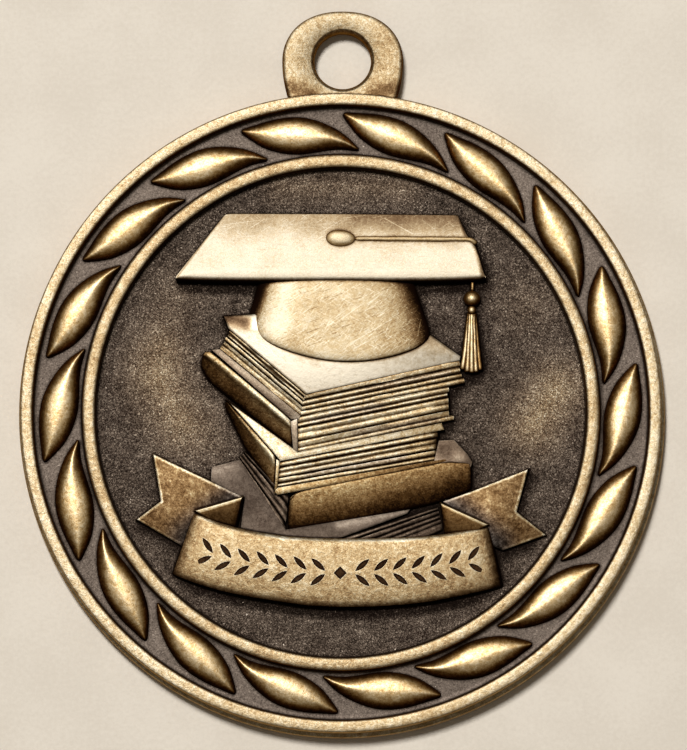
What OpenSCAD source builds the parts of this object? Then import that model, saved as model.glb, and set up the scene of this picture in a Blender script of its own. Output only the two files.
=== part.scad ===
// Academic award medal: one casting with a ribbon loop, a wreath of leaves in a sunk channel, and a raised
// picture of a mortarboard cap on five books behind a swallow-tailed banner.
// The flat back lies on z = 0, the face looks up, and the loop points along +Y. Sizes are in millimetres.

/* [Disc] */
// Diameter over the widest part of the edge
disc_d = 51.2; // [48:0.1:56]
// Thickness from the flat back to the top of the rim
disc_t = 3; // [2.7:0.05:3.8]
// Height of the wide band at the foot of the edge
edge_band_h = 1.5; // [0.8:0.05:2]
// How far the edge steps in above that band
edge_step = 0.27; // [0.06:0.01:0.3]
// Bevel round the back
back_bevel = 0.3; // [0.1:0.05:0.6]
// Width of the raised rim
rim_w = 0.94; // [0.5:0.01:1.4]
// Bevel on the top corners of the rim and the ring
face_bevel = 0.08; // [0.04:0.01:0.2]
// How far the channel and field walls lean out at their foot
wall_lean = 0.1; // [0.05:0.01:0.3]

/* [Wreath] */
// Width of the sunk channel between rim and ring
channel_w = 3.92; // [3.9:0.01:5]
// Depth of the channel below the rim
channel_depth = 1.05; // [0.6:0.05:1.4]
// Number of leaves
leaf_count = 18; // [12:1:18]
// Length of a leaf from tip to tip
leaf_l = 9.5; // [7:0.1:10]
// Greatest width of a leaf
leaf_w = 3.1; // [2:0.05:3.4]
// Height of a leaf above the channel
leaf_h = 0.9; // [0.5:0.05:1.2]
// How far a leaf turns inwards from the run of the channel
leaf_turn = 18.25; // [12:0.25:22]
// How far the middle of a leaf's tip line lies inside the middle of the channel
leaf_inset = 0.6; // [0.3:0.01:0.8]
// Turn of the whole wreath from the +X axis
wreath_turn = 8.85; // [0:0.05:20]

/* [Ring and field] */
// Width of the raised ring round the field
ring_w = 1.03; // [0.5:0.01:1.4]
// How far the ring's top lies below the rim
ring_drop = 0.2; // [0.05:0.05:0.5]
// Depth of the field below the rim
field_depth = 1.3; // [1:0.05:1.7]
// Height of the relief's highest edge above the field
relief_h = 1.25; // [0.9:0.05:1.5]

/* [Ribbon loop] */
// Greatest width of the loop
loop_w = 9.5; // [8.4:0.1:12]
// Width of the loop where it meets the disc
loop_neck_w = 8.3; // [7:0.1:8.4]
// Height of the loop above the middle of its hole
loop_rise = 3.95; // [3.2:0.05:5]
// Thickness of the loop
loop_t = 2.2; // [1.6:0.05:2.6]
// Diameter of the ribbon hole
hole_d = 4.5; // [3.5:0.1:4.8]
// Diameter of the hole at its two mouths
hole_mouth_d = 5.12; // [4.82:0.02:5.4]
// Depth of each mouth
hole_mouth_h = 0.5; // [0.2:0.05:0.7]
// Metal left between the hole and the disc's edge
hole_web = 0.2; // [0.2:0.05:1]

/* [Cap] */
// Width of the board's front edge
board_w = 24.9; // [20:0.1:27]
// Depth of the board from its front edge to its back edge
board_d = 5.15; // [4:0.05:6]
// Distance of the board's front edge above the middle of the disc
board_y = 10.5; // [9.5:0.1:11]
// Width of the skull cap
crown_w = 14.3; // [12:0.1:16]
// Height of the skull cap below the board
crown_h = 6.6; // [5:0.1:7.5]
// Length of the button on the board
button_l = 2.18; // [1.6:0.02:3]
// Width of the button
button_w = 1.2; // [0.8:0.05:1.8]
// Diameter of the cord
cord_d = 0.43; // [0.3:0.01:0.6]
// Length of the tassel from the board's edge down
tassel_l = 7.3; // [5:0.1:8]
// Width of the tassel at its foot
tassel_w = 1.85; // [1.4:0.05:2.4]
// Diameter of the tassel's bead
bead_d = 1.16; // [0.8:0.02:1.4]
// Number of strands in the tassel
strand_count = 5; // [3:1:7]

/* [Books] */
// Width of the stack of books
stack_w = 20.8; // [17:0.1:23]
// Height of the stack of books
stack_h = 18.2; // [16:0.1:20]
// Distance of the stack's top above the middle of the disc
stack_y = 7.6; // [7:0.1:8.5]
// Width of a page groove
groove_w = 0.16; // [0.1:0.01:0.2]
// Depth of a page groove
groove_depth = 0.12; // [0.06:0.01:0.2]

/* [Banner] */
// Width of the banner's front band
band_w = 26; // [22:0.1:27]
// Height of the front band
band_h = 5.3; // [4:0.1:6]
// Distance of the band's lowest edge below the middle of the disc
band_y = 15.4; // [14:0.1:15.8]
// How far the band hangs lower in the middle than at its left end
band_sag = 2.2; // [1:0.1:3]
// Length of each swallow tail
tail_l = 8.5; // [6:0.1:9]
// Number of leaflet pairs on each side of the engraved sprig
sprig_pairs = 7; // [4:1:8]
// Length of a leaflet
leaflet_l = 1.5; // [0.8:0.05:1.8]
// Depth of the engraving
engrave_depth = 0.12; // [0.06:0.01:0.2]

/* [Hidden] */
$fn = 64;

disc_r = disc_d / 2;
face_r = disc_r - edge_step;
channel_outer_r = face_r - rim_w;
channel_inner_r = channel_outer_r - channel_w;
field_r = channel_inner_r - ring_w;
channel_z = disc_t - channel_depth;
ring_z = disc_t - ring_drop;
field_z = disc_t - field_depth;
root = 0.5; // how deep each raised shape reaches into the blank below it
field_root_z = field_z - root;
loop_y = disc_r + hole_web + hole_d / 2;
cut_over = 0.2; // how far a cut starts outside the surface that it cuts

// A leaf's sections. Columns: place along the leaf, outer side and inner side as shares of leaf_w, crest
// height as a share of leaf_h.
leaf_sections = [
    [0.01, 0.03, -0.03, 0.20],
    [0.10, 0.21, -0.21, 0.58],
    [0.20, 0.385, -0.34, 0.80],
    [0.32, 0.52, -0.39, 0.95],
    [0.45, 0.62, -0.385, 1.00],
    [0.58, 0.625, -0.295, 0.98],
    [0.70, 0.555, -0.165, 0.92],
    [0.80, 0.46, -0.065, 0.82],
    [0.90, 0.31, -0.02, 0.62],
    [0.99, 0.04, 0.00, 0.22],
];
// Half of a leaf's cross-section. Columns: place from the side to the crest, share of the crest's height.
leaf_shoulder = [0.45, 0.80];

// The board's outline. Columns: x as a share of board_w, y above the front edge as a share of board_d.
board_outline = [
    [-0.537, 0.01],
    [-0.366, 1.00],
    [0.373, 1.00],
    [0.406, 0.625],
    [0.445, 0.50],
    [0.461, 0.00],
    [0.280, -0.01],
    [-0.200, -0.04],
];
board_front = 1; // heights of the board's front and back edges, as shares of relief_h
board_back = 0.4;
button_at = [0, 0.63]; // middle of the button, as shares of board_w and board_d
button_rise = 0.35; // height of the button above the board, as a share of button_w
button_tips = 0.97; // 1 would bring the button's two ends to a point
cord_end = 0.415; // where the cord goes over the board's edge, as a share of board_w
cord_foot = [0.452, 0.04]; // where the cord goes under the board, as shares of board_w and board_d
cord_wrap = 1.3; // the cord's thickness where it wraps the board's edge, as a share of cord_d
cord_lift = 0.15; // how far the cord's middle lies above the board, as a share of cord_d

// The tassel. Places down from the board as shares of tassel_l, and widths as shares of tassel_w.
tassel_x = 0.418; // where the tassel hangs, as a share of board_w
bead_drop = 0.2;
skirt_drop = 0.34;
skirt_top_w = 0.28;
strand_overlap = 1.5; // a strand's width, as a share of its even part of the skirt
strand_taper = 0.7; // a strand's width at its top, as a share of its width at its foot
tassel_sink = 0.3; // how far the tassel's middle lies above the field, as a share of bead_d

crown_top_share = 0.86; // the skull cap's width under the board, as a share of crown_w
crown_side = 0.59; // where the bottom curve starts, as a share of crown_h below the board
crown_mid = 0.97; // heights of the skull cap's middle and sides, as shares of relief_h
crown_edge = 0.64;
crown_round = 0.96; // 1 would bring the skull cap's sides all the way down to crown_edge
crown_tuck = 0.1; // how far the skull cap runs up under the board, as a share of board_d
// The skull cap from its rim up. Columns: place from the rim to under the board, and how far the surface
// lies below its highest line, as a share of relief_h.
crown_rise = [
    [0, 0.05],
    [0.1, 0],
    [0.5, 0.03],
    [1, 0.14],
];

// The books, top one first. Columns: front corner x and y, right corner x and y, left corner x and y, back
// corner x and y, with x as a share of stack_w and y as a share of stack_h below the stack's top.
book_corners = [
    [-0.134, 0.321, 0.453, 0.168, -0.447, 0.003, 0.072, -0.033],
    [-0.163, 0.435, 0.413, 0.322, -0.498, 0.148, 0.072, 0.250],
    [-0.237, 0.605, 0.385, 0.508, -0.457, 0.341, 0.048, 0.390],
    [-0.202, 0.772, 0.497, 0.640, -0.365, 0.588, 0.320, 0.386],
    [-0.072, 1.000, 0.385, 0.796, -0.486, 0.651, 0.096, 0.690],
];
// Their lower edges. Columns: thickness at the front, right and left as shares of stack_h, lean of the
// front, right and left ends as shares of stack_w, rounded left end as a share of stack_w.
book_edges = [
    [0.118, 0.121, 0.137, -0.029, 0.012, -0.019, 0],
    [0.157, 0.176, 0.183, -0.002, -0.024, 0.036, 0.036],
    [0.157, 0.126, 0.157, -0.008, 0.010, 0.050, 0],
    [0.161, 0.143, 0.040, -0.010, 0.000, -0.031, 0],
    [0.110, 0.130, 0.069, 0.000, 0.000, -0.010, 0],
];
// Their faces. Columns: page grooves on the right face and on the left face, bulge of the right face and
// of the left face as shares of relief_h.
book_faces = [
    [4, 4, 0, 0],
    [5, 0, 0, 0.10],
    [5, 0, 0, 0.04],
    [0, 3, 0.06, 0],
    [3, 0, 0, 0],
];
// Heights of a book's corners, as shares of relief_h: front corner, ends, back corner, and the drop from
// each book to the one under it.
book_front = 0.92;
book_end = 0.58;
book_back = 0.3;
book_step = 0.025;
nose_thick = 0.3; // a rounded end's thickness and set-in at its tip, as a share of the book's own
nose_drop = 0.1; // how far that tip lies below the book's end, as a share of relief_h
back_share = 0.04; // how far the top of a book's end reaches towards its back corner
groove_in = 0.03; // where a page groove starts and ends, as shares of the face it runs along
groove_out = 1.03;

// The band's sections. Columns: x of the top edge and of the bottom edge as shares of band_w, lift of the
// top edge and of the bottom edge as shares of band_sag, height as a share of relief_h.
band_sections = [
    [-0.457, -0.513, 1.00, 1.16, 0.42],
    [-0.435, -0.488, 0.86, 0.97, 0.68],
    [-0.338, -0.365, 0.51, 0.50, 0.82],
    [-0.209, -0.225, 0.23, 0.19, 0.91],
    [-0.060, -0.070, 0.03, 0.02, 0.96],
    [0.080, 0.085, 0.00, 0.00, 0.96],
    [0.200, 0.210, 0.04, 0.02, 0.92],
    [0.312, 0.340, 0.14, 0.26, 0.84],
    [0.435, 0.478, 0.42, 0.68, 0.70],
    [0.456, 0.500, 0.53, 0.80, 0.44],
];
band_end_x = 0.452; // where the band turns back, as a share of band_w
// The swallow tails. Columns: x out from the band's end as a share of tail_l and y above the band's lowest
// edge as a share of band_h, for the left tail and then for the right one.
tail_outline = [
    [-0.470, 1.636, -0.456, 1.549],
    [-0.150, 1.930, -0.169, 1.747],
    [0.373, 2.287, 0.378, 2.072],
    [0.293, 1.592, 0.258, 1.421],
    [0.528, 1.285, 0.529, 1.079],
    [0.112, 0.925, 0.089, 0.843],
    [0.020, 1.050, 0.030, 1.000],
    [-0.053, 1.340, -0.040, 1.151],
];
// The folds between band and tails, measured as the tails are.
fold_outline = [
    [-0.470, 1.628, -0.456, 1.549],
    [-0.035, 1.368, -0.030, 1.189],
    [-0.060, 1.200, -0.060, 1.080],
    [-0.385, 1.050, -0.400, 0.950],
];
tail_out = 0.42; // heights of a tail's outer end and inner end, and of a fold, as shares of relief_h
tail_in = 0.55;
fold_rise = 0.62;
sprig_lean = 40; // angle between a leaflet and the sprig's run
sprig_reach = 0.4; // where a sprig ends, as a share of band_w from the middle
sprig_start = 0.3; // how far the first leaflets move in towards the lozenge, as a share of their spacing
leaflet_gap = 0.12; // gap between a leaflet and the sprig's middle line, as a share of leaflet_l
leaflet_round = 0.9; // radius of a leaflet's sides, as a share of leaflet_l
lozenge_share = 0.5; // side of the centre lozenge, as a share of leaflet_l

function mix(a, b, t) = a + (b - a) * t;
function last(list) = list[len(list) - 1];
// The height of the relief at a share of relief_h.
function relief_z(share) = field_z + relief_h * share;
// A section with its two feet on a floor.
function on_floor(points, z) = concat(
    [[points[0].x, points[0].y, z]],
    points,
    [[last(points).x, last(points).y, z]]
);

// A solid through sections that run left to right. Each section is a list of points from its low-y foot over
// the top to its high-y foot.
module loft(sections) {
    n = len(sections[0]);
    m = len(sections);
    skin = [
        for (i = [0:m - 2], j = [0:n - 2], half = [0, 1])
            half == 0
                ? [i * n + j, i * n + j + 1, (i + 1) * n + j + 1]
                : [i * n + j, (i + 1) * n + j + 1, (i + 1) * n + j]
    ];
    underside = [
        for (i = [0:m - 2])
            [i * n, (i + 1) * n, (i + 1) * n + n - 1, i * n + n - 1]
    ];
    left_end = [for (j = [n - 1:-1:0]) j];
    right_end = [for (j = [0:n - 1]) (m - 1) * n + j];
    polyhedron(
        points = [for (s = sections, p = s) p],
        faces = concat(skin, underside, [left_end, right_end])
    );
}

// A plate over an outline, whose top slopes from height z0 at y0 to height z1 at y1.
module sloped_plate(outline, y0, z0, y1, z1) {
    reach = disc_d;
    intersection() {
        translate([0, 0, field_root_z])
            linear_extrude(disc_t)
                polygon(outline);
        translate([0, y0, z0])
            rotate([atan2(z1 - z0, y1 - y0), 0, 0])
                translate([-reach, -reach, -reach])
                    cube([2 * reach, 2 * reach, reach]);
    }
}

// A straight V groove between two points on a face.
module groove(a, b, w, depth) {
    run = b - a;
    flat_run = norm([run.x, run.y]);
    translate(a)
        rotate([0, -atan2(run.z, flat_run), atan2(run.y, run.x)])
            rotate([90, 0, 90])
                linear_extrude(norm(run))
                    polygon([[0, -depth], [w, cut_over], [-w, cut_over]]);
}

// The disc with its rim, channel, ring and field, as one turned profile.
module blank() {
    color("#a8915f")
        rotate_extrude($fn = 180)
            polygon([
                [0, 0],
                [disc_r - back_bevel, 0],
                [disc_r, back_bevel],
                [disc_r, edge_band_h],
                [face_r, edge_band_h],
                [face_r, disc_t - face_bevel],
                [face_r - face_bevel, disc_t],
                [channel_outer_r + face_bevel, disc_t],
                [channel_outer_r, disc_t - face_bevel],
                [channel_outer_r - wall_lean, channel_z],
                [channel_inner_r + wall_lean, channel_z],
                [channel_inner_r, ring_z - face_bevel],
                [channel_inner_r - face_bevel, ring_z],
                [field_r + face_bevel, ring_z],
                [field_r, ring_z - face_bevel],
                [field_r - wall_lean, field_z],
                [0, field_z],
            ]);
}

// The loop's half width at a height above (1) or below (-1) the middle of the hole, as a share of its reach.
loop_power = 2.2;
loop_steps = 12;
loop_foot = disc_r - rim_w / 2;
function loop_half(up) = up >= 0
    ? loop_w / 2 * pow(1 - pow(up, loop_power), 1 / loop_power)
    : mix(loop_w, loop_neck_w, up * up) / 2;
function loop_side() = concat(
    [for (i = [loop_steps:-1:1]) [loop_half(-i / loop_steps), mix(loop_y, loop_foot, i / loop_steps)]],
    [for (a = [0:90 / loop_steps:89]) [loop_half(sin(a)), loop_y + loop_rise * sin(a)]]
);

module ribbon_loop() {
    side = loop_side();
    n = len(side);
    color("#b59a63")
        linear_extrude(loop_t)
            polygon(concat(
                side,
                [[0, loop_y + loop_rise]],
                [for (i = [n - 1:-1:0]) [-side[i].x, side[i].y]]
            ));
}

module ribbon_hole() {
    translate([0, loop_y, -cut_over])
        cylinder(d = hole_d, h = loop_t + 2 * cut_over);
    translate([0, loop_y, 0]) {
        cylinder(d1 = hole_mouth_d, d2 = hole_d, h = hole_mouth_h);
        translate([0, 0, loop_t - hole_mouth_h])
            cylinder(d1 = hole_d, d2 = hole_mouth_d, h = hole_mouth_h);
    }
}

function leaf_section(row) =
    let (
        x = leaf_l * (row[0] - 0.5),
        outer = leaf_w * row[1],
        inner = leaf_w * row[2],
        crest = (outer + inner) / 2,
        foot_z = channel_z - root,
        shoulder_z = channel_z + leaf_h * row[3] * leaf_shoulder[1],
        crest_z = channel_z + leaf_h * row[3]
    )
    [
        [x, inner, foot_z],
        [x, mix(inner, crest, leaf_shoulder[0]), shoulder_z],
        [x, crest, crest_z],
        [x, mix(outer, crest, leaf_shoulder[0]), shoulder_z],
        [x, outer, foot_z],
    ];

module leaf() {
    color("#c3a468")
        loft([for (row = leaf_sections) leaf_section(row)]);
}

module wreath() {
    leaf_r = channel_outer_r - channel_w / 2 - leaf_inset;
    for (i = [0:leaf_count - 1])
        rotate([0, 0, wreath_turn + i * 360 / leaf_count])
            translate([0, leaf_r, 0])
                rotate([0, 0, -leaf_turn])
                    leaf();
}

function board_point(at) = [at.x * board_w, board_y + at.y * board_d];
function board_z(share) = relief_z(mix(board_front, board_back, share));

module board() {
    color("#d0bd92")
        sloped_plate(
            [for (p = board_outline) board_point(p)],
            board_y, board_z(0), board_y + board_d, board_z(1)
        );
}

// A section of the skull cap from its rim up under the board, at s from -1 on the left to 1 on the right.
function crown_section(s) =
    let (
        round_share = sqrt(1 - crown_round * s * s),
        low = [s * crown_w / 2, board_y - crown_h * mix(crown_side, 1, sqrt(1 - s * s))],
        high = [s * crown_w / 2 * crown_top_share, board_y + board_d * crown_tuck],
        top_share = mix(crown_edge, crown_mid, round_share)
    )
    on_floor(
        [for (row = crown_rise) [
            mix(low.x, high.x, row[0]),
            mix(low.y, high.y, row[0]),
            relief_z(top_share - row[1])
        ]],
        field_root_z
    );

module skull_cap() {
    color("#bda46c")
        loft([for (s = [-1, -0.94, -0.78, -0.5, -0.18, 0.18, 0.5, 0.78, 0.94, 1]) crown_section(s)]);
}

// The button is an oval dome with a pointed right end, where the cord starts.
function button_section(s) =
    let (
        at = board_point(button_at),
        half_w = button_w / 2 * sqrt(1 - s * s * button_tips),
        foot_z = board_z(button_at.y) - root,
        top_z = board_z(button_at.y) + button_w * button_rise * sqrt(1 - s * s * button_tips),
        side_z = mix(foot_z, top_z, 0.8)
    )
    [
        [at.x + s * button_l / 2, at.y - half_w, foot_z],
        [at.x + s * button_l / 2, at.y - half_w * 0.7, side_z],
        [at.x + s * button_l / 2, at.y, top_z],
        [at.x + s * button_l / 2, at.y + half_w * 0.7, side_z],
        [at.x + s * button_l / 2, at.y + half_w, foot_z],
    ];

module button() {
    color("#cdb177")
        loft([for (s = [-1, -0.8, -0.4, 0, 0.4, 0.8, 1]) button_section(s)]);
}

// A round bar between two points.
module bar(a, b, d) {
    run = b - a;
    translate(a)
        rotate([0, atan2(norm([run.x, run.y]), run.z), atan2(run.y, run.x)])
            cylinder(d = d, h = norm(run));
}

module cord() {
    start = board_point(button_at);
    over = board_point([cord_end, button_at.y]);
    foot = board_point(cord_foot);
    lift = cord_d * cord_lift;
    color("#cdb177") {
        bar(
            [start.x, start.y, board_z(button_at.y) + lift],
            [over.x, over.y, board_z(button_at.y) + lift],
            cord_d
        );
        bar(
            [over.x, over.y, board_z(button_at.y) + lift],
            [foot.x, foot.y, board_z(button_at.y)],
            cord_d * cord_wrap
        );
    }
}

// The tassel hangs down from the board: thread, bead, neck and a skirt of strands.
module tassel() {
    x = tassel_x * board_w;
    z = field_z + bead_d * tassel_sink;
    bead_y = board_y - tassel_l * bead_drop;
    skirt_y = board_y - tassel_l * skirt_drop;
    skirt_l = tassel_l * (1 - skirt_drop);
    strand_d = tassel_w / strand_count * strand_overlap;
    color("#b0945c") {
        bar([x, board_y + cord_d, z], [x, skirt_y - cord_d, z], cord_d);
        translate([x, bead_y, z])
            sphere(d = bead_d);
        for (i = [0:strand_count - 1]) {
            side = (i / (strand_count - 1) - 0.5) * (tassel_w - strand_d);
            lift = z - strand_d * 0.2 * abs(side) / tassel_w;
            run = [side * (1 - skirt_top_w), -skirt_l];
            translate([x + side * skirt_top_w, skirt_y, lift])
                rotate([90, 0, atan2(run.x, skirt_l)])
                    cylinder(d1 = strand_d * strand_taper, d2 = strand_d, h = norm(run));
        }
    }
}

// A point of the stack of books.
function stack_point(x, down, z_share) = [x * stack_w, stack_y - down * stack_h, relief_z(z_share)];
// A book's section at one end or at its front corner: lower edge, bulge, upper edge and back edge.
function book_section(top, back, thick, lean, bulge) =
    let (
        low = [top.x + lean * stack_w, top.y - thick * stack_h, top.z],
        mid = mix(low, top, 0.5)
    )
    on_floor([low, [mid.x, mid.y, mid.z + bulge * relief_h], top, back], field_root_z);
function front_corner(i) = stack_point(book_corners[i][0], book_corners[i][1], book_front - i * book_step);
function right_corner(i) = stack_point(book_corners[i][2], book_corners[i][3], book_end - i * book_step);
function left_corner(i) = stack_point(book_corners[i][4], book_corners[i][5], book_end - i * book_step);
function back_corner(i) = stack_point(book_corners[i][6], book_corners[i][7], book_back);
function dropped(p, thick, lean) = p + [lean * stack_w, -thick * stack_h, 0];

module book(i) {
    front = front_corner(i);
    right = right_corner(i);
    left = left_corner(i);
    back = back_corner(i);
    edges = book_edges[i];
    faces = book_faces[i];
    nose = edges[6];
    tip = left + [-nose * stack_w, -edges[2] * stack_h * nose_thick, -nose_drop * relief_h];
    rounded = nose > 0
        ? [book_section(tip, mix(tip, back, back_share / 2), edges[2] * nose_thick, nose * nose_thick, 0)]
        : [];
    color("#a58a54")
        difference() {
            loft(concat(
                rounded,
                [
                    book_section(left, mix(left, back, back_share), edges[2], edges[5], faces[3] / 2),
                    book_section(mix(left, front, 0.5), mix(left, back, 0.5),
                        mix(edges[2], edges[0], 0.5), mix(edges[5], edges[3], 0.5), faces[3]),
                    book_section(front, back, edges[0], edges[3], 0),
                    book_section(mix(right, front, 0.5), mix(right, back, 0.5),
                        mix(edges[1], edges[0], 0.5), mix(edges[4], edges[3], 0.5), faces[2]),
                    book_section(right, mix(right, back, back_share), edges[1], edges[4], 0),
                ]
            ));
            page_grooves(i);
        }
}

// The grooves between a book's pages, on its right and left faces.
module page_grooves(i) {
    front = front_corner(i);
    right = right_corner(i);
    left = left_corner(i);
    edges = book_edges[i];
    front_low = dropped(front, edges[0], edges[3]);
    right_low = dropped(right, edges[1], edges[4]);
    left_low = dropped(left, edges[2], edges[5]);
    for (side = [0, 1]) {
        count = book_faces[i][side];
        far = side == 0 ? right : left;
        far_low = side == 0 ? right_low : left_low;
        if (count > 0)
            for (k = [1:count]) {
                a = mix(front, front_low, k / (count + 1));
                b = mix(far, far_low, k / (count + 1));
                groove(mix(a, b, groove_in), mix(a, b, groove_out), groove_w / 2, groove_depth);
            }
    }
}

module books() {
    for (i = [0:len(book_corners) - 1])
        book(i);
}

function band_section(row) =
    let (
        high = [row[0] * band_w, -band_y + band_h + row[2] * band_sag],
        low = [row[1] * band_w, -band_y + row[3] * band_sag],
        z = relief_z(row[4])
    )
    on_floor([[low.x, low.y, z], [high.x, high.y, z]], field_root_z);
// The middle line and the height of the band at a share of its width.
function band_lift(share) = band_sag * lookup(share, [for (row = band_sections) [row[0], row[2]]]);
function band_top_z(share) = relief_z(lookup(share, [for (row = band_sections) [row[0], row[4]]]));

module band() {
    color("#bda068")
        difference() {
            loft([for (row = band_sections) band_section(row)]);
            sprig();
        }
}

// A point of a tail or fold, on the left (-1) or right (1) side.
function tail_point(row, side) =
    let (column = side < 0 ? 0 : 2)
    [side * (band_w * band_end_x + row[column] * tail_l), -band_y + row[column + 1] * band_h];

module tail(side) {
    outline = [for (row = tail_outline) tail_point(row, side)];
    inner_x = outline[0].x;
    outer_x = outline[4].x;
    slope = atan((tail_out - tail_in) * relief_h / abs(outer_x - inner_x));
    reach = disc_d;
    color("#a58c5a")
        intersection() {
            translate([0, 0, field_root_z])
                linear_extrude(disc_t)
                    polygon(outline);
            translate([inner_x, 0, relief_z(tail_in)])
                rotate([0, -side * slope, 0])
                    translate([-reach, -reach, -reach])
                        cube([2 * reach, 2 * reach, reach]);
        }
}

module fold(side) {
    color("#8d7444")
        translate([0, 0, field_root_z])
            linear_extrude(relief_z(fold_rise) - field_root_z)
                polygon([for (row = fold_outline) tail_point(row, side)]);
}

// One engraved leaflet, pointed at both ends and lying along +X.
module leaflet() {
    half = leaflet_l / 2;
    side_r = leaflet_l * leaflet_round;
    sink = sqrt(side_r * side_r - half * half);
    linear_extrude(disc_t)
        intersection() {
            translate([half, -sink])
                circle(r = side_r);
            translate([half, sink])
                circle(r = side_r);
        }
}

// The engraved sprig along the middle of the band: pairs of leaflets that run out from a centre lozenge.
module sprig() {
    centre_y = -band_y + band_h / 2;
    lozenge = leaflet_l * lozenge_share;
    translate([0, centre_y, band_top_z(0) - engrave_depth])
        rotate([0, 0, 45])
            translate([-lozenge / 2, -lozenge / 2, 0])
                cube([lozenge, lozenge, disc_t]);
    for (side = [-1, 1], k = [1:sprig_pairs]) {
        share = side * sprig_reach * (k - sprig_start) / sprig_pairs;
        step = 0.01; // half the stretch over which the sprig's run is measured
        turn = atan((band_lift(share + step) - band_lift(share - step)) / (2 * step * band_w));
        translate([share * band_w, centre_y + band_lift(share), band_top_z(share) - engrave_depth])
            rotate([0, 0, turn + (side > 0 ? 0 : 180)])
                for (lean = [-1, 1])
                    rotate([0, 0, lean * sprig_lean])
                        translate([leaflet_l * leaflet_gap, 0, 0])
                            leaflet();
    }
}

module medal() {
    difference() {
        union() {
            blank();
            ribbon_loop();
            wreath();
            board();
            skull_cap();
            button();
            cord();
            tassel();
            books();
            band();
            tail(-1);
            tail(1);
            fold(-1);
            fold(1);
        }
        ribbon_hole();
    }
}

medal();
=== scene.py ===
import math
import random

import bmesh
import bpy
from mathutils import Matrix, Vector
from mathutils.kdtree import KDTree


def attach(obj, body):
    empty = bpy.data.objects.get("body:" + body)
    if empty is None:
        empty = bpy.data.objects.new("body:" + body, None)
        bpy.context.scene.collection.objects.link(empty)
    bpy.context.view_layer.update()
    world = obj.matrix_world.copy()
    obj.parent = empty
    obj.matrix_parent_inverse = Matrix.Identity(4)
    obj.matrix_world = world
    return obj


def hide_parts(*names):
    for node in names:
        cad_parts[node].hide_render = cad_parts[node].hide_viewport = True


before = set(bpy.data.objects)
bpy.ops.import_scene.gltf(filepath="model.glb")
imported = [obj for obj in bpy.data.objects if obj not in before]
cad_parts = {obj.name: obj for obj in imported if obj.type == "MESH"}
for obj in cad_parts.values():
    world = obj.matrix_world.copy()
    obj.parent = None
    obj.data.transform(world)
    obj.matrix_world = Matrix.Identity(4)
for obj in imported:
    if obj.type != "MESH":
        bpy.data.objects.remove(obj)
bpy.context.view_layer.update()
mm = 0.001
zAxis = Vector((0, 0, 1))
nearNought = 1e-6
# how far a piece of the relief is sunk into what it stands on
footDeep = 0.3


# small helpers for numbers and points

def mix(a, b, share):
    return a + (b - a) * share


def turned(x, y, degrees):
    angle = math.radians(degrees)
    return (x * math.cos(angle) - y * math.sin(angle), x * math.sin(angle) + y * math.cos(angle))


def spread(reach):
    return random.uniform(-reach, reach)


def inMetres(points):
    return [Vector(p) * mm for p in points]


# helpers for modelling by operator

def deselectAll():
    if bpy.context.mode != "OBJECT":
        bpy.ops.object.mode_set(mode="OBJECT")
    bpy.ops.object.select_all(action="DESELECT")


def pick(piece):
    deselectAll()
    piece.select_set(True)
    bpy.context.view_layer.objects.active = piece


def named(piece, name):
    piece.name = name
    piece.data.name = name
    return piece


def selectAll(action="SELECT"):
    bpy.ops.mesh.select_all(action=action)


def facesOut():
    selectAll()
    bpy.ops.mesh.normals_make_consistent(inside=False)


def editEnd():
    bpy.ops.object.mode_set(mode="OBJECT")


def putPoint(place):
    # a tiny plane merged to one vertex, from which edges are drawn
    bpy.ops.mesh.primitive_plane_add(size=mm, location=place)
    bpy.ops.mesh.merge(type="CENTER")


def startPiece(name, place):
    deselectAll()
    bpy.ops.mesh.primitive_plane_add(size=mm, location=place)
    piece = named(bpy.context.object, name)
    bpy.ops.object.transform_apply()
    bpy.ops.object.mode_set(mode="EDIT")
    bpy.ops.mesh.select_mode(type="VERT")
    selectAll()
    bpy.ops.mesh.merge(type="CENTER")
    return piece


def drawLine(points):
    # extrudes the selected vertex from point to point
    for here, there in zip(points, points[1:]):
        bpy.ops.mesh.extrude_region_move(TRANSFORM_OT_translate={"value": there - here})


def selectVerts(piece, wanted):
    # selects the vertices whose place passes a test
    selectAll("DESELECT")
    net = bmesh.from_edit_mesh(piece.data)
    for vert in net.verts:
        vert.select_set(wanted(vert.co))
    net.select_flush(True)
    bmesh.update_edit_mesh(piece.data)


def loftPiece(name, rows, closed=False):
    # draws each row of points and bridges it to the next one; open rows run from foot to foot and get an
    # underside and two ends, closed ones are rings, of which the last is bridged to the first
    rows = [inMetres(row) for row in rows]
    count, width = len(rows), len(rows[0])
    finder = KDTree(count * width)
    for number, point in enumerate(point for row in rows for point in row):
        finder.insert(point, number)
    finder.balance()
    piece = startPiece(name, rows[0][0])
    ends = [{i * width, (i + 1) * width - 1} for i in range(count)]
    whole = [set(range(i * width, (i + 1) * width)) for i in range(count)]

    def choose(wanted):
        selectVerts(piece, lambda place: finder.find(place)[1] in wanted)

    for i, row in enumerate(rows):
        if i:
            putPoint(row[0])
        drawLine(row)
        if closed:
            choose(ends[i])
            bpy.ops.mesh.edge_face_add()
    for i in range(count if closed else count - 1):
        choose(whole[i] | whole[(i + 1) % count])
        bpy.ops.mesh.bridge_edge_loops()
    if not closed:
        choose(set().union(*ends))
        bpy.ops.mesh.bridge_edge_loops()
        for row in (whole[0], whole[-1]):
            choose(row)
            bpy.ops.mesh.edge_face_add()
    facesOut()
    editEnd()
    return piece


def lathePiece(name, profile, steps):
    # a profile of (radius, height) points, spun round the middle of the medal
    points = inMetres([(r, 0, z) for r, z in profile])
    piece = startPiece(name, points[0])
    drawLine(points)
    selectAll()
    bpy.ops.mesh.spin(steps=steps, angle=math.tau, center=(0, 0, 0), axis=(0, 0, 1))
    selectAll()
    bpy.ops.mesh.remove_doubles(threshold=0.002 * mm)
    facesOut()
    editEnd()
    return piece


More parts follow.
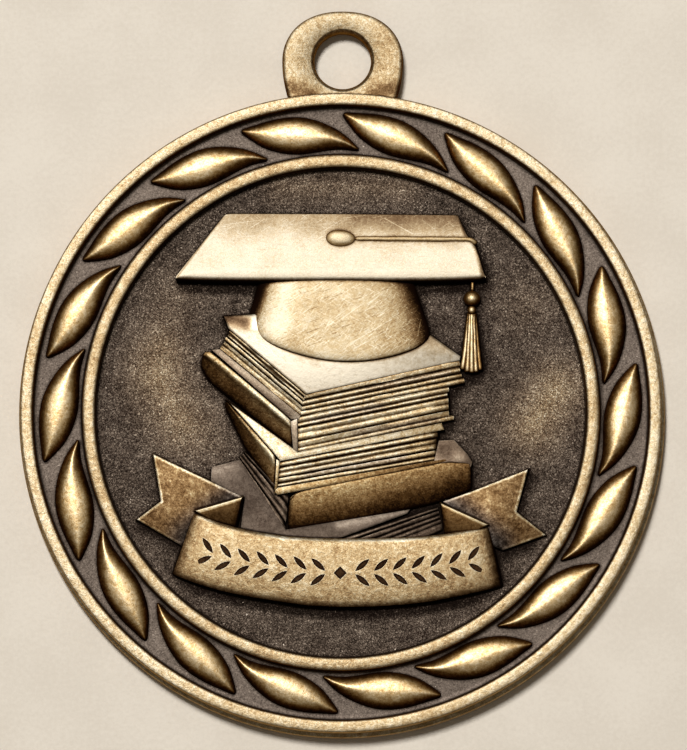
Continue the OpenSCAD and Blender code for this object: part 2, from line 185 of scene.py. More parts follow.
def prismPiece(name, points, height):
    # draws an outline, fills it and extrudes it upwards; leaves the piece in edit mode
    piece = startPiece(name, points[0])
    drawLine(points)
    selectAll()
    bpy.ops.mesh.edge_face_add()
    selectAll()
    bpy.ops.mesh.extrude_region_move(TRANSFORM_OT_translate={"value": (0, 0, height)})
    facesOut()
    return piece


def smoothed(piece, levels, angle):
    pick(piece)
    if levels:
        rounding = piece.modifiers.new("rounding", "SUBSURF")
        rounding.levels = levels
        rounding.render_levels = levels
        bpy.ops.object.modifier_apply(modifier=rounding.name)
    bpy.ops.object.shade_smooth_by_angle(angle=math.radians(angle))
    return piece


def copied(piece, name):
    pick(piece)
    bpy.ops.object.duplicate()
    return named(bpy.context.object, name)


def placed(piece):
    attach(piece, "root")


def finished(piece, finish):
    piece.data.materials.append(finish)
    placed(piece)


# shader nodes as expressions

class Wire:
    def __init__(self, sheet, socket):
        self.sheet = sheet
        self.socket = socket

    def __add__(self, other):
        return self.sheet.sum("ADD", self, other)

    def __radd__(self, other):
        return self.sheet.sum("ADD", other, self)

    def __sub__(self, other):
        return self.sheet.sum("SUBTRACT", self, other)

    def __rsub__(self, other):
        return self.sheet.sum("SUBTRACT", other, self)

    def __mul__(self, other):
        return self.sheet.sum("MULTIPLY", self, other)

    def __rmul__(self, other):
        return self.sheet.sum("MULTIPLY", other, self)


class FinishSheet:
    # the nodes of one material or of the world
    def __init__(self, owner):
        owner.use_nodes = True
        self.owner = owner
        self.tree = owner.node_tree
        self.tree.nodes.clear()

    def node(self, kind, settings=None, inputs=None):
        node = self.tree.nodes.new("ShaderNode" + kind)
        for key, value in (settings or {}).items():
            setattr(node, key, value)
        for key, value in (inputs or {}).items():
            if isinstance(value, Wire):
                self.tree.links.new(value.socket, node.inputs[key])
            else:
                node.inputs[key].default_value = value
        return node

    def add(self, kind, settings=None, inputs=None, output=0):
        return Wire(self, self.node(kind, settings, inputs).outputs[output])

    def close(self, surface, kind="OutputMaterial"):
        self.node(kind, None, {"Surface": surface})
        return self.owner

    def sum(self, operation, a, b):
        return self.add("Math", {"operation": operation}, {0: a, 1: b})

    def larger(self, a, b):
        return self.sum("MAXIMUM", a, b)

    def clamped(self, value):
        return self.add("Clamp", None, {"Value": value})

    def vector(self, operation, a, b=(0, 0, 0), output=0):
        return self.add("VectorMath", {"operation": operation}, {0: a, 1: b}, output)

    def scaled(self, a, factor):
        return self.add("VectorMath", {"operation": "SCALE"}, {0: a, "Scale": factor})

    def measured(self, operation, a, b=(0, 0, 0)):
        # a vector operation that gives a number
        return self.vector(operation, a, b, 1)

    def zPart(self, a):
        # the upright part of a vector
        return self.add("SeparateXYZ", None, {0: a}, 2)

    def onPiece(self):
        # the place on the piece in millimetres
        return self.scaled(self.add("TexCoord", output=3), 1 / mm)

    def ramp(self, value, low, high, bottom=0.0, top=1.0):
        # a soft step from bottom to top while value runs from low to high
        return self.add(
            "MapRange", {"interpolation_type": "SMOOTHSTEP"},
            {"Value": value, "From Min": low, "From Max": high, "To Min": bottom, "To Max": top},
        )

    def blend(self, share, a, b):
        return self.add("Mix", {"data_type": "RGBA"}, {"Factor": share, 6: a, 7: b}, 2)

    def colours(self, value, stops):
        ramp = self.node("ValToRGB", None, {0: value})
        bands = ramp.color_ramp.elements
        while len(bands) < len(stops):
            bands.new(0.5)
        for band, (place, colour) in zip(bands, stops):
            band.position = place
            band.color = colour
        return Wire(self, ramp.outputs[0])

    def noise(self, coords, size, detail, roughness=0.5, distortion=0.0):
        # a noise whose blotches are about size millimetres across
        return self.add(
            "TexNoise", None,
            {"Vector": coords, "Scale": 1 / size, "Detail": detail, "Roughness": roughness,
             "Distortion": distortion},
        )

    def swing(self, coords, *settings):
        # a noise that swings about nought
        return self.noise(coords, *settings) - 0.5

    def bump(self, relief):
        return self.add("Bump", None, {"Strength": 1.0, "Distance": mm, "Height": relief})

    def near(self, place, reach, edge):
        # one near a point (x, y) or a line (x, y, x, y) of the face seen from above; nought away from it
        start = Vector((*place[:2], 0))
        gap = self.vector("SUBTRACT", self.flat, start)
        foot = (0, 0, 0)
        if len(place) > 2:
            run = Vector((*place[2:], 0)) - start
            share = self.measured("DOT_PRODUCT", gap, run / run.length_squared)
            foot = self.scaled(run, self.clamped(share))
        return self.ramp(self.measured("DISTANCE", gap, foot), reach + edge, reach - edge)

    def patched(self, value, patches):
        # a patch is a point or a line as above, its reach, its soft edge, and what it adds to the value there
        for *place, reach, edge, gain in patches:
            value = value + self.near(place, reach, edge) * gain
        return value


# the finish: antique bronze, dark in the hollows, rubbed bright where a hand or a cloth reaches, with painted
# shade away from the lamp

bronze = {
    # colours by wear, from full tarnish to polished metal
    "colours": [
        (0.0, (0.012, 0.004, 0.0015, 1)),
        (0.25, (0.085, 0.039, 0.011, 1)),
        (0.5, (0.235, 0.132, 0.05, 1)),
        (0.68, (0.415, 0.285, 0.13, 1)),
        (0.82, (0.56, 0.44, 0.255, 1)),
        (1.0, (0.72, 0.64, 0.47, 1)),
    ],
    "ashTint": (1.11, 0.965, 0.86),
    "edgeTint": (0.6, 0.4, 0.22, 1),
    "warmTint": (1.12, 0.9, 0.6),
    "warmSlopes": (1.0, 0.87),
    "brightGloss": 0.5,
    "tarnishGloss": 0.58,
    "glossByWear": (0.1, 0.9),
    "glossMottle": 0.14,
    "metallicByWear": (0.0, 0.25, 0.9, 1.0),
    "lacquer": 0.04,
    "lacquerByWear": (0.8, 1.0),
    "lacquerGloss": 0.25,
    "hollowReach": 0.19,
    "hollowSamples": 6,
    "hollowHeights": (0.3, 1.3),
    "edgeReach": 0.09,
    "edgeSamples": 4,
    "edgeBend": (0.995, 0.9),
    "edgeOpen": (0.3, 0.1),
    "edgeRub": 0.22,
    # painted shadow and painted shade: darker beside whatever stands up, on the side away from the lamp, and
    # on slopes that turn away from the lamp
    "leeReach": 1.1,
    "leeSide": (-0.3, 0.68, 0.67),
    "leeOpen": (0.68, 0.25),
    "shadeTurn": (0.58, 0.12),
    "smokeDark": 0.3,
    "scratchEdge": 0.05,
    # noises: the size of a blotch, detail and roughness; the grit's size is each finish's own, and its last
    # value is distortion
    "blotch": (2.6, 3.0, 0.55),
    "mottle": (0.42, 4.0, 0.62),
    "grit": (3.0, 0.65, 1.0),
}


def bronzeSheet(name):
    # the values that every bronze finish is worked out from
    b = bronze
    sheet = FinishSheet(bpy.data.materials.new(name))
    samples = {"samples": b["hollowSamples"]}
    sheet.place = sheet.onPiece()
    sheet.flat = sheet.vector("MULTIPLY", sheet.place, (1, 1, 0))
    sheet.height = sheet.zPart(sheet.place)
    normal = sheet.add("NewGeometry", output=1)
    sheet.facing = sheet.add("Math", {"operation": "ABSOLUTE"}, {0: sheet.zPart(normal)})
    hollow = 1 - sheet.add("AmbientOcclusion", samples, {"Distance": b["hollowReach"] * mm}, 1)
    sheet.hollow = hollow * sheet.ramp(sheet.height, *b["hollowHeights"])
    bevel = sheet.add("Bevel", {"samples": b["edgeSamples"]}, {"Radius": b["edgeReach"] * mm})
    bend = sheet.measured("DOT_PRODUCT", bevel, normal)
    sheet.edge = sheet.ramp(bend, *b["edgeBend"]) * sheet.ramp(sheet.hollow, *b["edgeOpen"])
    # painted shadow: how open each point is towards the lamp; painted shade: how far a slope turns away from
    # it
    side = sheet.add("CombineXYZ", None, dict(enumerate(b["leeSide"])))
    sheet.open = sheet.add("AmbientOcclusion", samples, {"Distance": b["leeReach"] * mm, "Normal": side}, 1)
    sheet.lee = sheet.ramp(sheet.open, *b["leeOpen"])
    sheet.shade = sheet.ramp(sheet.measured("DOT_PRODUCT", normal, side), *b["shadeTurn"])
    sheet.blotch = sheet.swing(sheet.place, *b["blotch"])
    sheet.mottle = sheet.swing(sheet.place, *b["mottle"])
    return sheet


def drawnOut(sheet, turn, length, width):
    # a noise drawn out along a direction
    run = sheet.add("Mapping", {"vector_type": "TEXTURE"},
                    {"Vector": sheet.place, "Rotation": (0, 0, math.radians(turn)), "Scale": (length, 1, 1)})
    return sheet.noise(run, width, 1.0)


def closeBronze(sheet, wear, relief, gloss=0.0, grey=0.0, warmth=0.0):
    b = bronze
    wear = sheet.clamped(wear)
    colour = sheet.colours(wear, b["colours"])
    if warmth > 0:
        share = sheet.ramp(sheet.facing, *b["warmSlopes"], warmth * 0.5, warmth)
        colour = sheet.blend(share, colour, sheet.vector("MULTIPLY", colour, b["warmTint"]))
    if isinstance(grey, Wire) or grey > 0:
        lightness = sheet.add("RGBToBW", None, {0: colour})
        colour = sheet.blend(grey, colour, sheet.vector("MULTIPLY", lightness, b["ashTint"]))
    rough = sheet.ramp(wear, *b["glossByWear"], b["tarnishGloss"] + gloss, b["brightGloss"] + gloss)
    return sheet.close(sheet.add(
        "BsdfPrincipled", None,
        {"Base Color": colour, "Roughness": rough + sheet.mottle * b["glossMottle"],
         "Metallic": sheet.ramp(wear, *b["metallicByWear"]), "Specular Tint": b["edgeTint"],
         "Coat Weight": sheet.ramp(wear, *b["lacquerByWear"], 0.0, b["lacquer"]),
         "Coat Roughness": b["lacquerGloss"], "Normal": sheet.bump(relief)},
    ))


# what a finish is made of where its piece says nothing else: low and high are the heights between which the
# rubbing sets in, base is what the hollows keep of it, patches add to it or take from it, and smoke greys it;
# some patches are painted highlights or painted shade, as marked where they stand
plainFinish = {
    "low": 0.0,
    "high": 1.0,
    "rub": 0.8,
    "base": 0.0,
    "steep": (0.55, 0.97),
    "steepLeft": 0.12,
    "blotchy": 0.25,
    "mottled": 0.35,
    "gritty": 0.35,
    "gritSize": 0.14,
    "gritDepth": 0.022,
    "dents": 0.018,
    "hollows": 1.1,
    # painted shadow beside raised parts and painted shade on slopes turned away from the lamp
    "lee": 0.25,
    "shade": 0.16,
    "scratches": (),
    "scratchDepth": 0.001,
    "patches": (),
    "smoke": (),
    "gloss": 0.0,
    "grey": 0.0,
    "warmth": 0.0,
}


def antiqueBronze(name, changes):
    f = {**plainFinish, **changes}
    sheet = bronzeSheet(name)
    grit = sheet.swing(sheet.place, f["gritSize"], *bronze["grit"])
    rubbed = sheet.ramp(sheet.height, f["low"], f["high"], f["base"], f["rub"])
    rubbed = rubbed * sheet.ramp(sheet.facing, *f["steep"], f["steepLeft"], 1.0)
    wear = sheet.patched(rubbed, f["patches"])
    wear = wear + sheet.blotch * f["blotchy"] + sheet.mottle * f["mottled"] + grit * f["gritty"]
    relief = grit * f["gritDepth"] + sheet.mottle * f["dents"]
    for turn, length, width, rarity, light in f["scratches"]:
        line = sheet.ramp(drawnOut(sheet, turn, length, width), rarity, rarity + bronze["scratchEdge"])
        wear = wear + line * light
        relief = relief - line * f["scratchDepth"]
    wear = wear + sheet.edge * bronze["edgeRub"] - sheet.hollow * f["hollows"]
    # painted shadow beside raised parts and painted shade on slopes turned away from the lamp
    wear = wear - sheet.lee * f["lee"] - sheet.shade * f["shade"]
    smoke = sheet.patched(0.0, f["smoke"])
    wear = wear - smoke * bronze["smokeDark"]
    return closeBronze(sheet, wear, relief, f["gloss"], f["grey"] + smoke, f["warmth"])


# the stage: cream paper, a camera almost straight above, and a broad soft light from the top left

shot = {
    "distance": 535,
    "tilt": 4.5,
    "roll": 0.28,
    "aim": (0.19, 2.9, 3.0),
    "seenHeight": 59.29,
    "sensor": 36,
}
lamp = {"turn": 114, "height": 71, "distance": 900, "size": 138, "power": 6.3}
paper = {
    "width": 4000,
    "colour": (0.94, 0.85, 0.72, 1),
    "shade": (0.86, 0.77, 0.645, 1),
    "roughness": 0.9,
    "cloud": (6.0, 3.0),
    "fibre": (0.35, 4.0, 0.65),
    "toneBorder": (0.35, 0.65),
    "fibreDepth": 0.03,
    "cloudDepth": 0.08,
}
# the room: bright overhead, dim near the horizon, and pale where the camera sees it
room = {
    "colour": (1.0, 0.9, 0.76, 1),
    "seen": (0.78, 0.72, 0.62, 1),
    "horizon": 0.02,
    "overhead": 0.22,
    "climb": 3,
}


def setCamera():
    turn = math.radians(shot["tilt"]), 0, math.radians(shot["roll"])
    bpy.ops.object.camera_add(rotation=turn)
    camera = bpy.context.object
    camera.name = "studioCamera"
    back = camera.rotation_euler.to_matrix() @ (zAxis * shot["distance"] * mm)
    camera.location = Vector(shot["aim"]) * mm + back
    camera.data.sensor_width = shot["sensor"]
    camera.data.lens = shot["sensor"] * shot["distance"] / shot["seenHeight"]
    camera.data.clip_start = 0.01
    camera.data.clip_end = 20
    bpy.context.scene.camera = camera


def addLamp():
    turn, lift = math.radians(lamp["turn"]), math.radians(lamp["height"])
    away = Vector((math.cos(turn) * math.cos(lift), math.sin(turn) * math.cos(lift), math.sin(lift)))
    bpy.ops.object.light_add(type="AREA", location=away * lamp["distance"] * mm)
    light = bpy.context.object
    light.name = "keyLamp"
    light.rotation_euler = away.to_track_quat("Z", "Y").to_euler()
    light.data.shape = "SQUARE"
    light.data.size = lamp["size"] * mm
    light.data.energy = lamp["power"]


def paperFinish():
    sheet = FinishSheet(bpy.data.materials.new("creamPaper"))
    place = sheet.onPiece()
    cloud = sheet.swing(place, *paper["cloud"])
    fibre = sheet.swing(place, *paper["fibre"])
    tone = sheet.ramp((cloud + fibre) * 0.5 + 0.5, *paper["toneBorder"])
    relief = fibre * paper["fibreDepth"] + cloud * paper["cloudDepth"]
    return sheet.close(sheet.add(
        "BsdfPrincipled", None,
        {"Base Color": sheet.blend(tone, paper["shade"], paper["colour"]), "Roughness": paper["roughness"],
         "Normal": sheet.bump(relief)},
    ))


def setRoom():
    world = bpy.data.worlds.new("studioRoom")
    bpy.context.scene.world = world
    sheet = FinishSheet(world)
    climb = sheet.zPart(sheet.add("TexCoord"))
    climb = sheet.add("Math", {"operation": "POWER", "use_clamp": True}, {0: climb, 1: room["climb"]})
    strength = {"Value": climb, "To Min": room["horizon"], "To Max": room["overhead"]}
    strength = sheet.add("MapRange", None, strength)
    glow = sheet.add("Background", None, {"Color": room["colour"], "Strength": strength})
    seen = sheet.add("Background", None, {"Color": room["seen"]})
    byCamera = sheet.add("LightPath")
    sheet.close(sheet.add("MixShader", None, {0: byCamera, 1: glow, 2: seen}), "OutputWorld")


def setStage():
    setCamera()
    addLamp()
    deselectAll()
    bpy.ops.mesh.primitive_plane_add(size=paper["width"] * mm)
    floor = bpy.context.object
    floor.name = "paperFloor"
    floor.data.materials.append(paperFinish())
    setRoom()
    bpy.context.scene.view_settings.view_transform = "Standard"
    print("stage set")


# the blank: disc, rim, channel, ring and field in one turned piece

blank = {
    "edgeR": 25.6,
    "faceR": 25.33,
    "bandTop": 1.5,
    "bandShift": (0.08, -0.14),
    "top": 3.0,
    "rimInnerR": 24.39,
    "channelZ": 1.95,
    "channelInnerR": 20.47,
    "ringZ": 2.8,
    "fieldR": 19.44,
    "fieldZ": 1.7,
    "floorStep": 0.4,
    "channelSteps": 12,
    "turns": 360,
    "shiftFromR": 24,
}
# bright rim and ring, slate-grey channel, and a sandblasted field with rubbed patches. A border is a soft
# step, given as two offsets from the size that it follows
blankFinish = {
    "fieldBorder": (0.02, -0.12),
    "lowerBorder": (-0.4, -1.3),
    "rimBorder": (0.15, 0.4),
    "faceBorder": (-0.5, -0.1),
    "ringRadii": (21.6, 21.0),
    "raisedOver": 0.45,
    "raisedUnder": 0.1,
    # noises: the size of a blotch, detail, roughness and distortion
    "grain": (0.12, 2.0, 0.7, 0.8),
    "coarse": (0.45, 3.0, 0.6, 1.0),
    "cloud": (1.3, 3.0, 0.6),
    "nicks": (0.22, 1.0),
    "nickRarity": (0.76, 0.82),
    # the rims and the ring
    "metalWear": 0.82,
    "ringWear": 0.07,
    "metalSwing": {"blotch": 0.3, "mottle": 0.7, "grain": 0.7},
    # painted shade on the sunlit upper-left arc and on the bottom arc of the rim and ring
    "metalPaintedShade": [(-22, 8, -4, 23, 8, 12, -0.05), (-9, -24, 9, -24, 4, 6, -0.06)],
    "metalSteep": (0.45, 0.9, 0.3, 1.0),
    "rimSteep": 0.82,
    "metalDents": 0.035,
    "metalAsh": 0.12,
    # the channel
    "channelWear": 0.4,
    "channelNicks": 0.35,
    "channelSwing": {"blotch": 0.14, "mottle": 0.3, "grain": 0.7},
    # painted shadow on the channel beside the leaves
    "channelPaintedShadow": 0.06,
    "channelDents": 0.02,
    "channelAsh": 0.8,
    # the field, and where it is rubbed lighter
    "fieldWear": 0.32,
    "fieldNicks": 0.5,
    "fieldSwing": {"blotch": 0.14, "cloud": 0.32, "coarse": 0.4, "grain": 1.7},
    # painted shadow on the field beside the raised picture, on the side away from the lamp
    "fieldOpenToLamp": (0.93, 0.58),
    "fieldPaintedShadow": 0.36,
    "fieldDents": {"grain": 0.04, "coarse": 0.05},
    "fieldAsh": 0.09,
    "glowAsh": 1.3,
    "glows": [
        (-14.5, 2.6, -12.5, -1.0, 1.1, 3.6, 0.36),
        (-14.2, 5.5, 1.0, 3.4, 0.22),
        (17.0, 1.9, 15.2, -0.9, 1.1, 3.4, 0.42),
        (-5.0, 18.0, 5.0, 18.0, 0.8, 1.8, 0.15),
        (-13.2, 9.2, 1.0, 3.6, 0.12),
        (14.8, 8.6, 1.0, 3.6, 0.12),
        (-9.5, -3.0, 0.6, 2.6, 0.08),
    ],
    "hollows": 0.6,
    "rimHollows": 0.5,
}


def blankBronze():
    b, f = blank, blankFinish
    sheet = bronzeSheet("blankBronze")
    noises = {key: sheet.swing(sheet.place, *f[key]) for key in ("grain", "coarse", "cloud")}
    noises.update(blotch=sheet.blotch, mottle=sheet.mottle)

    def swung(value, weights):
        for key, weight in weights.items():
            value = value + noises[key] * weight
        return value

    def border(value, size, offsets):
        return sheet.ramp(value, size + offsets[0], size + offsets[1])

    across = sheet.measured("LENGTH", sheet.flat)
    inField = border(across, b["fieldR"], f["fieldBorder"])
    away = border(across, b["fieldR"], f["lowerBorder"])
    outside = border(across, b["rimInnerR"], f["rimBorder"])
    face = border(sheet.height, b["bandTop"], f["faceBorder"])
    inRing = sheet.ramp(across, *f["ringRadii"])
    upper = sheet.ramp(sheet.height, b["fieldZ"] + f["raisedOver"], b["ringZ"] - f["raisedUnder"])
    upper = sheet.larger(upper, outside)
    nicks = sheet.ramp(sheet.noise(sheet.place, *f["nicks"]), *f["nickRarity"])

    # painted shade on two arcs of the rim and ring
    metalWear = sheet.patched(f["metalWear"] - inRing * f["ringWear"], f["metalPaintedShade"])
    steep = sheet.larger(sheet.ramp(sheet.facing, *f["metalSteep"]), outside * f["rimSteep"])
    metalWear = swung(metalWear, f["metalSwing"]) * steep
    glow = sheet.patched(0.0, f["glows"])
    fieldWear = swung(f["fieldWear"] + glow + nicks * f["fieldNicks"], f["fieldSwing"])
    # painted shadow on the field beside the picture, away from the lamp and kept off the ring
    fieldWear = fieldWear - sheet.ramp(sheet.open, *f["fieldOpenToLamp"]) * away * f["fieldPaintedShadow"]
    channelWear = swung(f["channelWear"] + nicks * f["channelNicks"], f["channelSwing"])
    # painted shadow beside the leaves
    channelWear = channelWear - sheet.lee * f["channelPaintedShadow"]
    wear = mix(mix(channelWear, fieldWear, inField), metalWear, upper)
    wear = mix(metalWear, wear, face) - sheet.hollow * (f["hollows"] - outside * f["rimHollows"])
    relief = swung(0.0, f["fieldDents"]) * inField + noises["grain"] * f["channelDents"]
    relief = relief + sheet.mottle * f["metalDents"] * upper
    ash = (1 - upper) * (f["channelAsh"] - inField * (f["fieldAsh"] + glow * f["glowAsh"])) * face
    return closeBronze(sheet, wear, relief, 0.0, ash + upper * f["metalAsh"])


def makeBlank(finish):
    b = blank
    edge, face, rim = b["edgeR"], b["faceR"], b["rimInnerR"]
    inner, fieldR = b["channelInnerR"], b["fieldR"]
    back = [(0, 0), (12, 0), (edge - 0.8, 0), (edge - 0.3, 0.02), (edge - 0.12, 0.1), (edge - 0.02, 0.26),
            (edge, 0.5), (edge, 1.2), (edge - 0.02, 1.36), (edge - 0.08, 1.44),
            (face + 0.1, b["bandTop"] - 0.02), (face + 0.06, b["bandTop"])]
    rimTop = [(face + 0.05, 1.6), (face + 0.01, 2.84), (face - 0.01, 2.92), (face - 0.05, 2.965),
              (face - 0.12, 2.985), (face - 0.3, b["top"]), (rim + 0.34, b["top"]), (rim + 0.22, 2.992),
              (rim + 0.13, 2.98), (rim + 0.06, 2.95), (rim + 0.01, 2.89), (rim - 0.02, 2.8),
              (rim - 0.08, 2.1), (rim - 0.11, 2.0), (rim - 0.19, b["channelZ"])]
    reach = rim - 0.19 - (inner + 0.17)
    steps = b["channelSteps"]
    channel = [(rim - 0.19 - reach * i / steps, b["channelZ"]) for i in range(1, steps + 1)]
    ring = [(inner + 0.1, 2.0), (inner + 0.07, 2.1), (inner + 0.02, 2.56), (inner - 0.01, 2.66),
            (inner - 0.07, 2.735), (inner - 0.18, 2.775), (inner - 0.34, b["ringZ"]),
            (fieldR + 0.34, b["ringZ"] - 0.003), (fieldR + 0.2, 2.785), (fieldR + 0.09, 2.75),
            (fieldR + 0.02, 2.68), (fieldR - 0.01, 2.58), (fieldR - 0.09, 1.86), (fieldR - 0.13, 1.75),
            (fieldR - 0.22, b["fieldZ"])]
    floorR = fieldR - 0.22
    rings = int(floorR / b["floorStep"])
    field = [(floorR * (1 - i / rings), b["fieldZ"]) for i in range(1, rings + 1)]
    disc = lathePiece("medalBlank", back + rimTop + channel + ring + field, b["turns"])
    # the lower half of the mould sat a little to one side, so the band at the foot of the edge is shifted
    pick(disc)
    bpy.ops.object.mode_set(mode="EDIT")
    low = (b["bandTop"] - 0.01) * mm
    selectVerts(disc, lambda place: place.z < low and place.xy.length > b["shiftFromR"] * mm)
    bpy.ops.transform.translate(value=Vector((*b["bandShift"], 0)) * mm)
    editEnd()
    smoothed(disc, 0, 40)
    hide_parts("medal")
    finished(disc, finish)
    print("blank turned")


# the wreath: eighteen separate leaves, modelled once and copied round the channel

wreath = {
    "leaves": 18,
    "length": 9.5,
    "width": 3.1,
    "height": 0.92,
    "middleR": 21.83,
    "turn": 18.25,
    "start": 8.85,
    "sides": 0.5,
    "widestSide": 0.55,
    "turnSpread": 0.5,
    "lengthSpread": (0.985, 1.01),
    "widthSpread": (0.975, 1.01),
}
leafFinish = {
    "low": 2.05, "high": 2.55, "rub": 0.86, "base": 0.42, "steepLeft": 0.56, "gloss": -0.04, "mottled": 0.7,
    "gritty": 0.8, "gritDepth": 0.01, "lee": 0.2, "shade": 0.2, "warmth": 0.9,
}
# place along the leaf, outer and inner side as shares of the width, crest height as a share of the height
leafSections = [
    (0.0, 0.045, -0.045, 0.25),
    (0.02, 0.095, -0.09, 0.4),
    (0.1, 0.215, -0.21, 0.64),
    (0.2, 0.385, -0.34, 0.82),
    (0.3, 0.505, -0.385, 0.94),
    (0.4, 0.595, -0.395, 0.99),
    (0.5, 0.635, -0.365, 1.0),
    (0.6, 0.615, -0.275, 0.99),
    (0.7, 0.555, -0.165, 0.95),
    (0.8, 0.46, -0.065, 0.86),
    (0.9, 0.31, -0.02, 0.68),
    (0.975, 0.125, -0.02, 0.46),
    (1.0, 0.075, 0.015, 0.28),
]
# half a leaf's cross-section from its foot to its crest: place inwards as a share of the side band or of the
# rest, and height as a share of the crest's
leafSide = [(0.0, 0.0), (0.26, 0.3), (0.6, 0.58), (1.0, 0.77)]
leafDome = [(0.25, 0.87), (0.55, 0.95), (0.8, 0.988)]


def leafSection(row):
    w = wreath
    x = (row[0] - 0.5) * w["length"]
    outer, inner = row[1] * w["width"], row[2] * w["width"]
    crest = (outer + inner) / 2
    high = w["height"] * row[3]
    half = (outer - inner) / 2
    band = min(w["sides"], half * w["widestSide"])
    floor = blank["channelZ"]
    side = [(share * band, rise * high) for share, rise in leafSide]
    side += [(band + share * (half - band), rise * high) for share, rise in leafDome]
    near = [(x, inner + inwards, floor + up) for inwards, up in side]
    far = [(x, outer - inwards, floor + up) for inwards, up in reversed(side)]
    return footed(near + [(x, crest, floor + high)] + far, floor - footDeep)


def makeWreath(finish):
    w = wreath
    leaf = smoothed(loftPiece("wreathLeaf01", [leafSection(row) for row in leafSections]), 1, 60)
    leaves = [leaf] + [copied(leaf, f"wreathLeaf{i + 1:02d}") for i in range(1, w["leaves"])]
    random.seed(11)
    for i, piece in enumerate(leaves):
        pick(piece)
        around = w["start"] + i * 360 / w["leaves"]
        piece.location = Vector((*turned(0, w["middleR"], around), 0)) * mm
        piece.rotation_euler = (0, 0, math.radians(around - w["turn"] + spread(w["turnSpread"])))
        piece.scale = (random.uniform(*w["lengthSpread"]), random.uniform(*w["widthSpread"]), 1)
        bpy.ops.object.transform_apply()
        finished(piece, finish)
    print("wreath laid:", len(leaves), "leaves")


# the ribbon loop: a flat eye with a parting line round its edge

ribbonLoop = {
    "middle": (0, 28.05),
    "width": 9.5,
    "neck": 8.3,
    "rise": 3.93,
    "foot": 3.3,
    "thick": 2.2,
    "holeR": 2.25,
    "mouthR": 2.52,
    "power": 2.2,
    "around": 96,
    # how often the search for the neck's outline is repeated
    "rounds": 12,
}
loopFinish = {
    "high": 1.8, "rub": 0.78, "base": 0.6, "steepLeft": 0.72, "mottled": 0.6, "gritty": 0.9,
    "dents": 0.03, "lee": 0.0, "gloss": 0.04, "grey": 0.12,
    # the first two patches grey the loop's foot; the third is painted shade down its right side
    "patches": [(-4.2, 25.9, -2.4, 25.4, 0.5, 0.5, -0.32), (4.2, 25.9, 2.4, 25.4, 0.5, 0.5, -0.32),
                (3.4, 26.5, 3.6, 30.0, 1.0, 1.0, -0.12)],
}


def loopOutline(shrink, z):
    # points round the loop at even angles from the middle of the hole, drawn in by shrink
    r = ribbonLoop
    half, rise = r["width"] / 2 - shrink, r["rise"] - shrink
    points = []
    for i in range(r["around"]):
        angle = math.tau * i / r["around"]
        c, s = math.cos(angle), math.sin(angle)
        if s >= 0:
            reach = (abs(c / half) ** r["power"] + abs(s / rise) ** r["power"]) ** (-1 / r["power"])
        else:
            level = max(abs(c), nearNought)
            reach = half / level
            for _ in range(r["rounds"]):
                down = min(1, reach * -s / r["foot"])
                wide = mix(r["width"], r["neck"], down * down) / 2 - shrink
                reach = min(wide / level, r["foot"] / -s)
        points.append((r["middle"][0] + reach * c, r["middle"][1] + reach * s, z))
    return points


def holeCircle(radius, z):
    x, y = ribbonLoop["middle"]
    angles = [math.tau * i / ribbonLoop["around"] for i in range(ribbonLoop["around"])]
    return [(x + radius * math.cos(angle), y + radius * math.sin(angle), z) for angle in angles]


def makeLoop(finish):
    r = ribbonLoop
    top, hole, mouth = r["thick"], r["holeR"], r["mouthR"]
    above = [(hole, 0.5), (hole, 1.1), (hole, top - 0.5), (hole + 0.05, top - 0.28),
             (mouth - 0.05, top - 0.06), (mouth + 0.04, top - 0.012)]
    outside = [(0.3, top), (0.14, top - 0.02), (0.04, top - 0.09), (0.0, top - 0.22), (0.0, 1.14),
               (-0.06, 1.06), (-0.06, 0.92), (0.0, 0.84), (0.02, 0.22), (0.06, 0.09), (0.16, 0.02),
               (0.3, 0.0)]
    below = [(mouth + 0.04, 0.012), (mouth - 0.05, 0.06), (hole + 0.05, 0.28)]
    rings = [holeCircle(*row) for row in above] + [loopOutline(*row) for row in outside]
    rings += [holeCircle(*row) for row in below]
    finished(smoothed(loftPiece("ribbonLoop", rings, closed=True), 0, 50), finish)
    print("loop made")


# shared ways of shaping the raised picture

fieldZ = blank["fieldZ"]
rootZ = fieldZ - footDeep
# a strand's half-round sections: how many steps round, and how deep they go where nothing else is said
strandSteps = 6
strandDeep = 0.35


def along(points, share):
    # a place on a line of points, at a share of its length in steps
    run = share * (len(points) - 1)
    i = min(int(run), len(points) - 2)
    return tuple(mix(a, b, run - i) for a, b in zip(points[i], points[i + 1]))


def footed(points, floor=rootZ):
    # a section with a foot on the floor at each end
    return [(points[0][0], points[0][1], floor)] + points + [(points[-1][0], points[-1][1], floor)]


def makePlates(plates, finishes):
    # a plate has an outline, a corner with its height, the tilt in x and in y, and the width of the edge; it
    # is extruded, bevelled round the top and laid on its tilt
    top = fieldZ + 1
    close = 0.05 * mm
    for name, plate in plates.items():
        edge = plate["edge"]
        (x, y, z), (slopeX, slopeY) = plate["corner"], plate["tilt"]
        outline = inMetres([(*place, rootZ) for place in plate["outline"]])
        piece = prismPiece(name, outline, (top - rootZ) * mm)
        bpy.ops.mesh.select_mode(type="EDGE")
        selectAll("DESELECT")
        net = bmesh.from_edit_mesh(piece.data)
        for side in net.edges:
            side.select_set(all(vert.co.z > top * mm - close for vert in side.verts))
        bmesh.update_edit_mesh(piece.data)
        bpy.ops.mesh.bevel(offset=edge * mm, segments=2, affect="EDGES")
        bpy.ops.mesh.select_mode(type="VERT")
        net = bmesh.from_edit_mesh(piece.data)
        for vert in net.verts:
            if vert.co.z > (top - 2 * edge) * mm - close:
                height = z + (vert.co.x / mm - x) * slopeX + (vert.co.y / mm - y) * slopeY
                vert.co.z += (height - top) * mm
        bmesh.update_edit_mesh(piece.data)
        editEnd()
        finished(smoothed(piece, 0, 30), finishes[plate["finish"]])


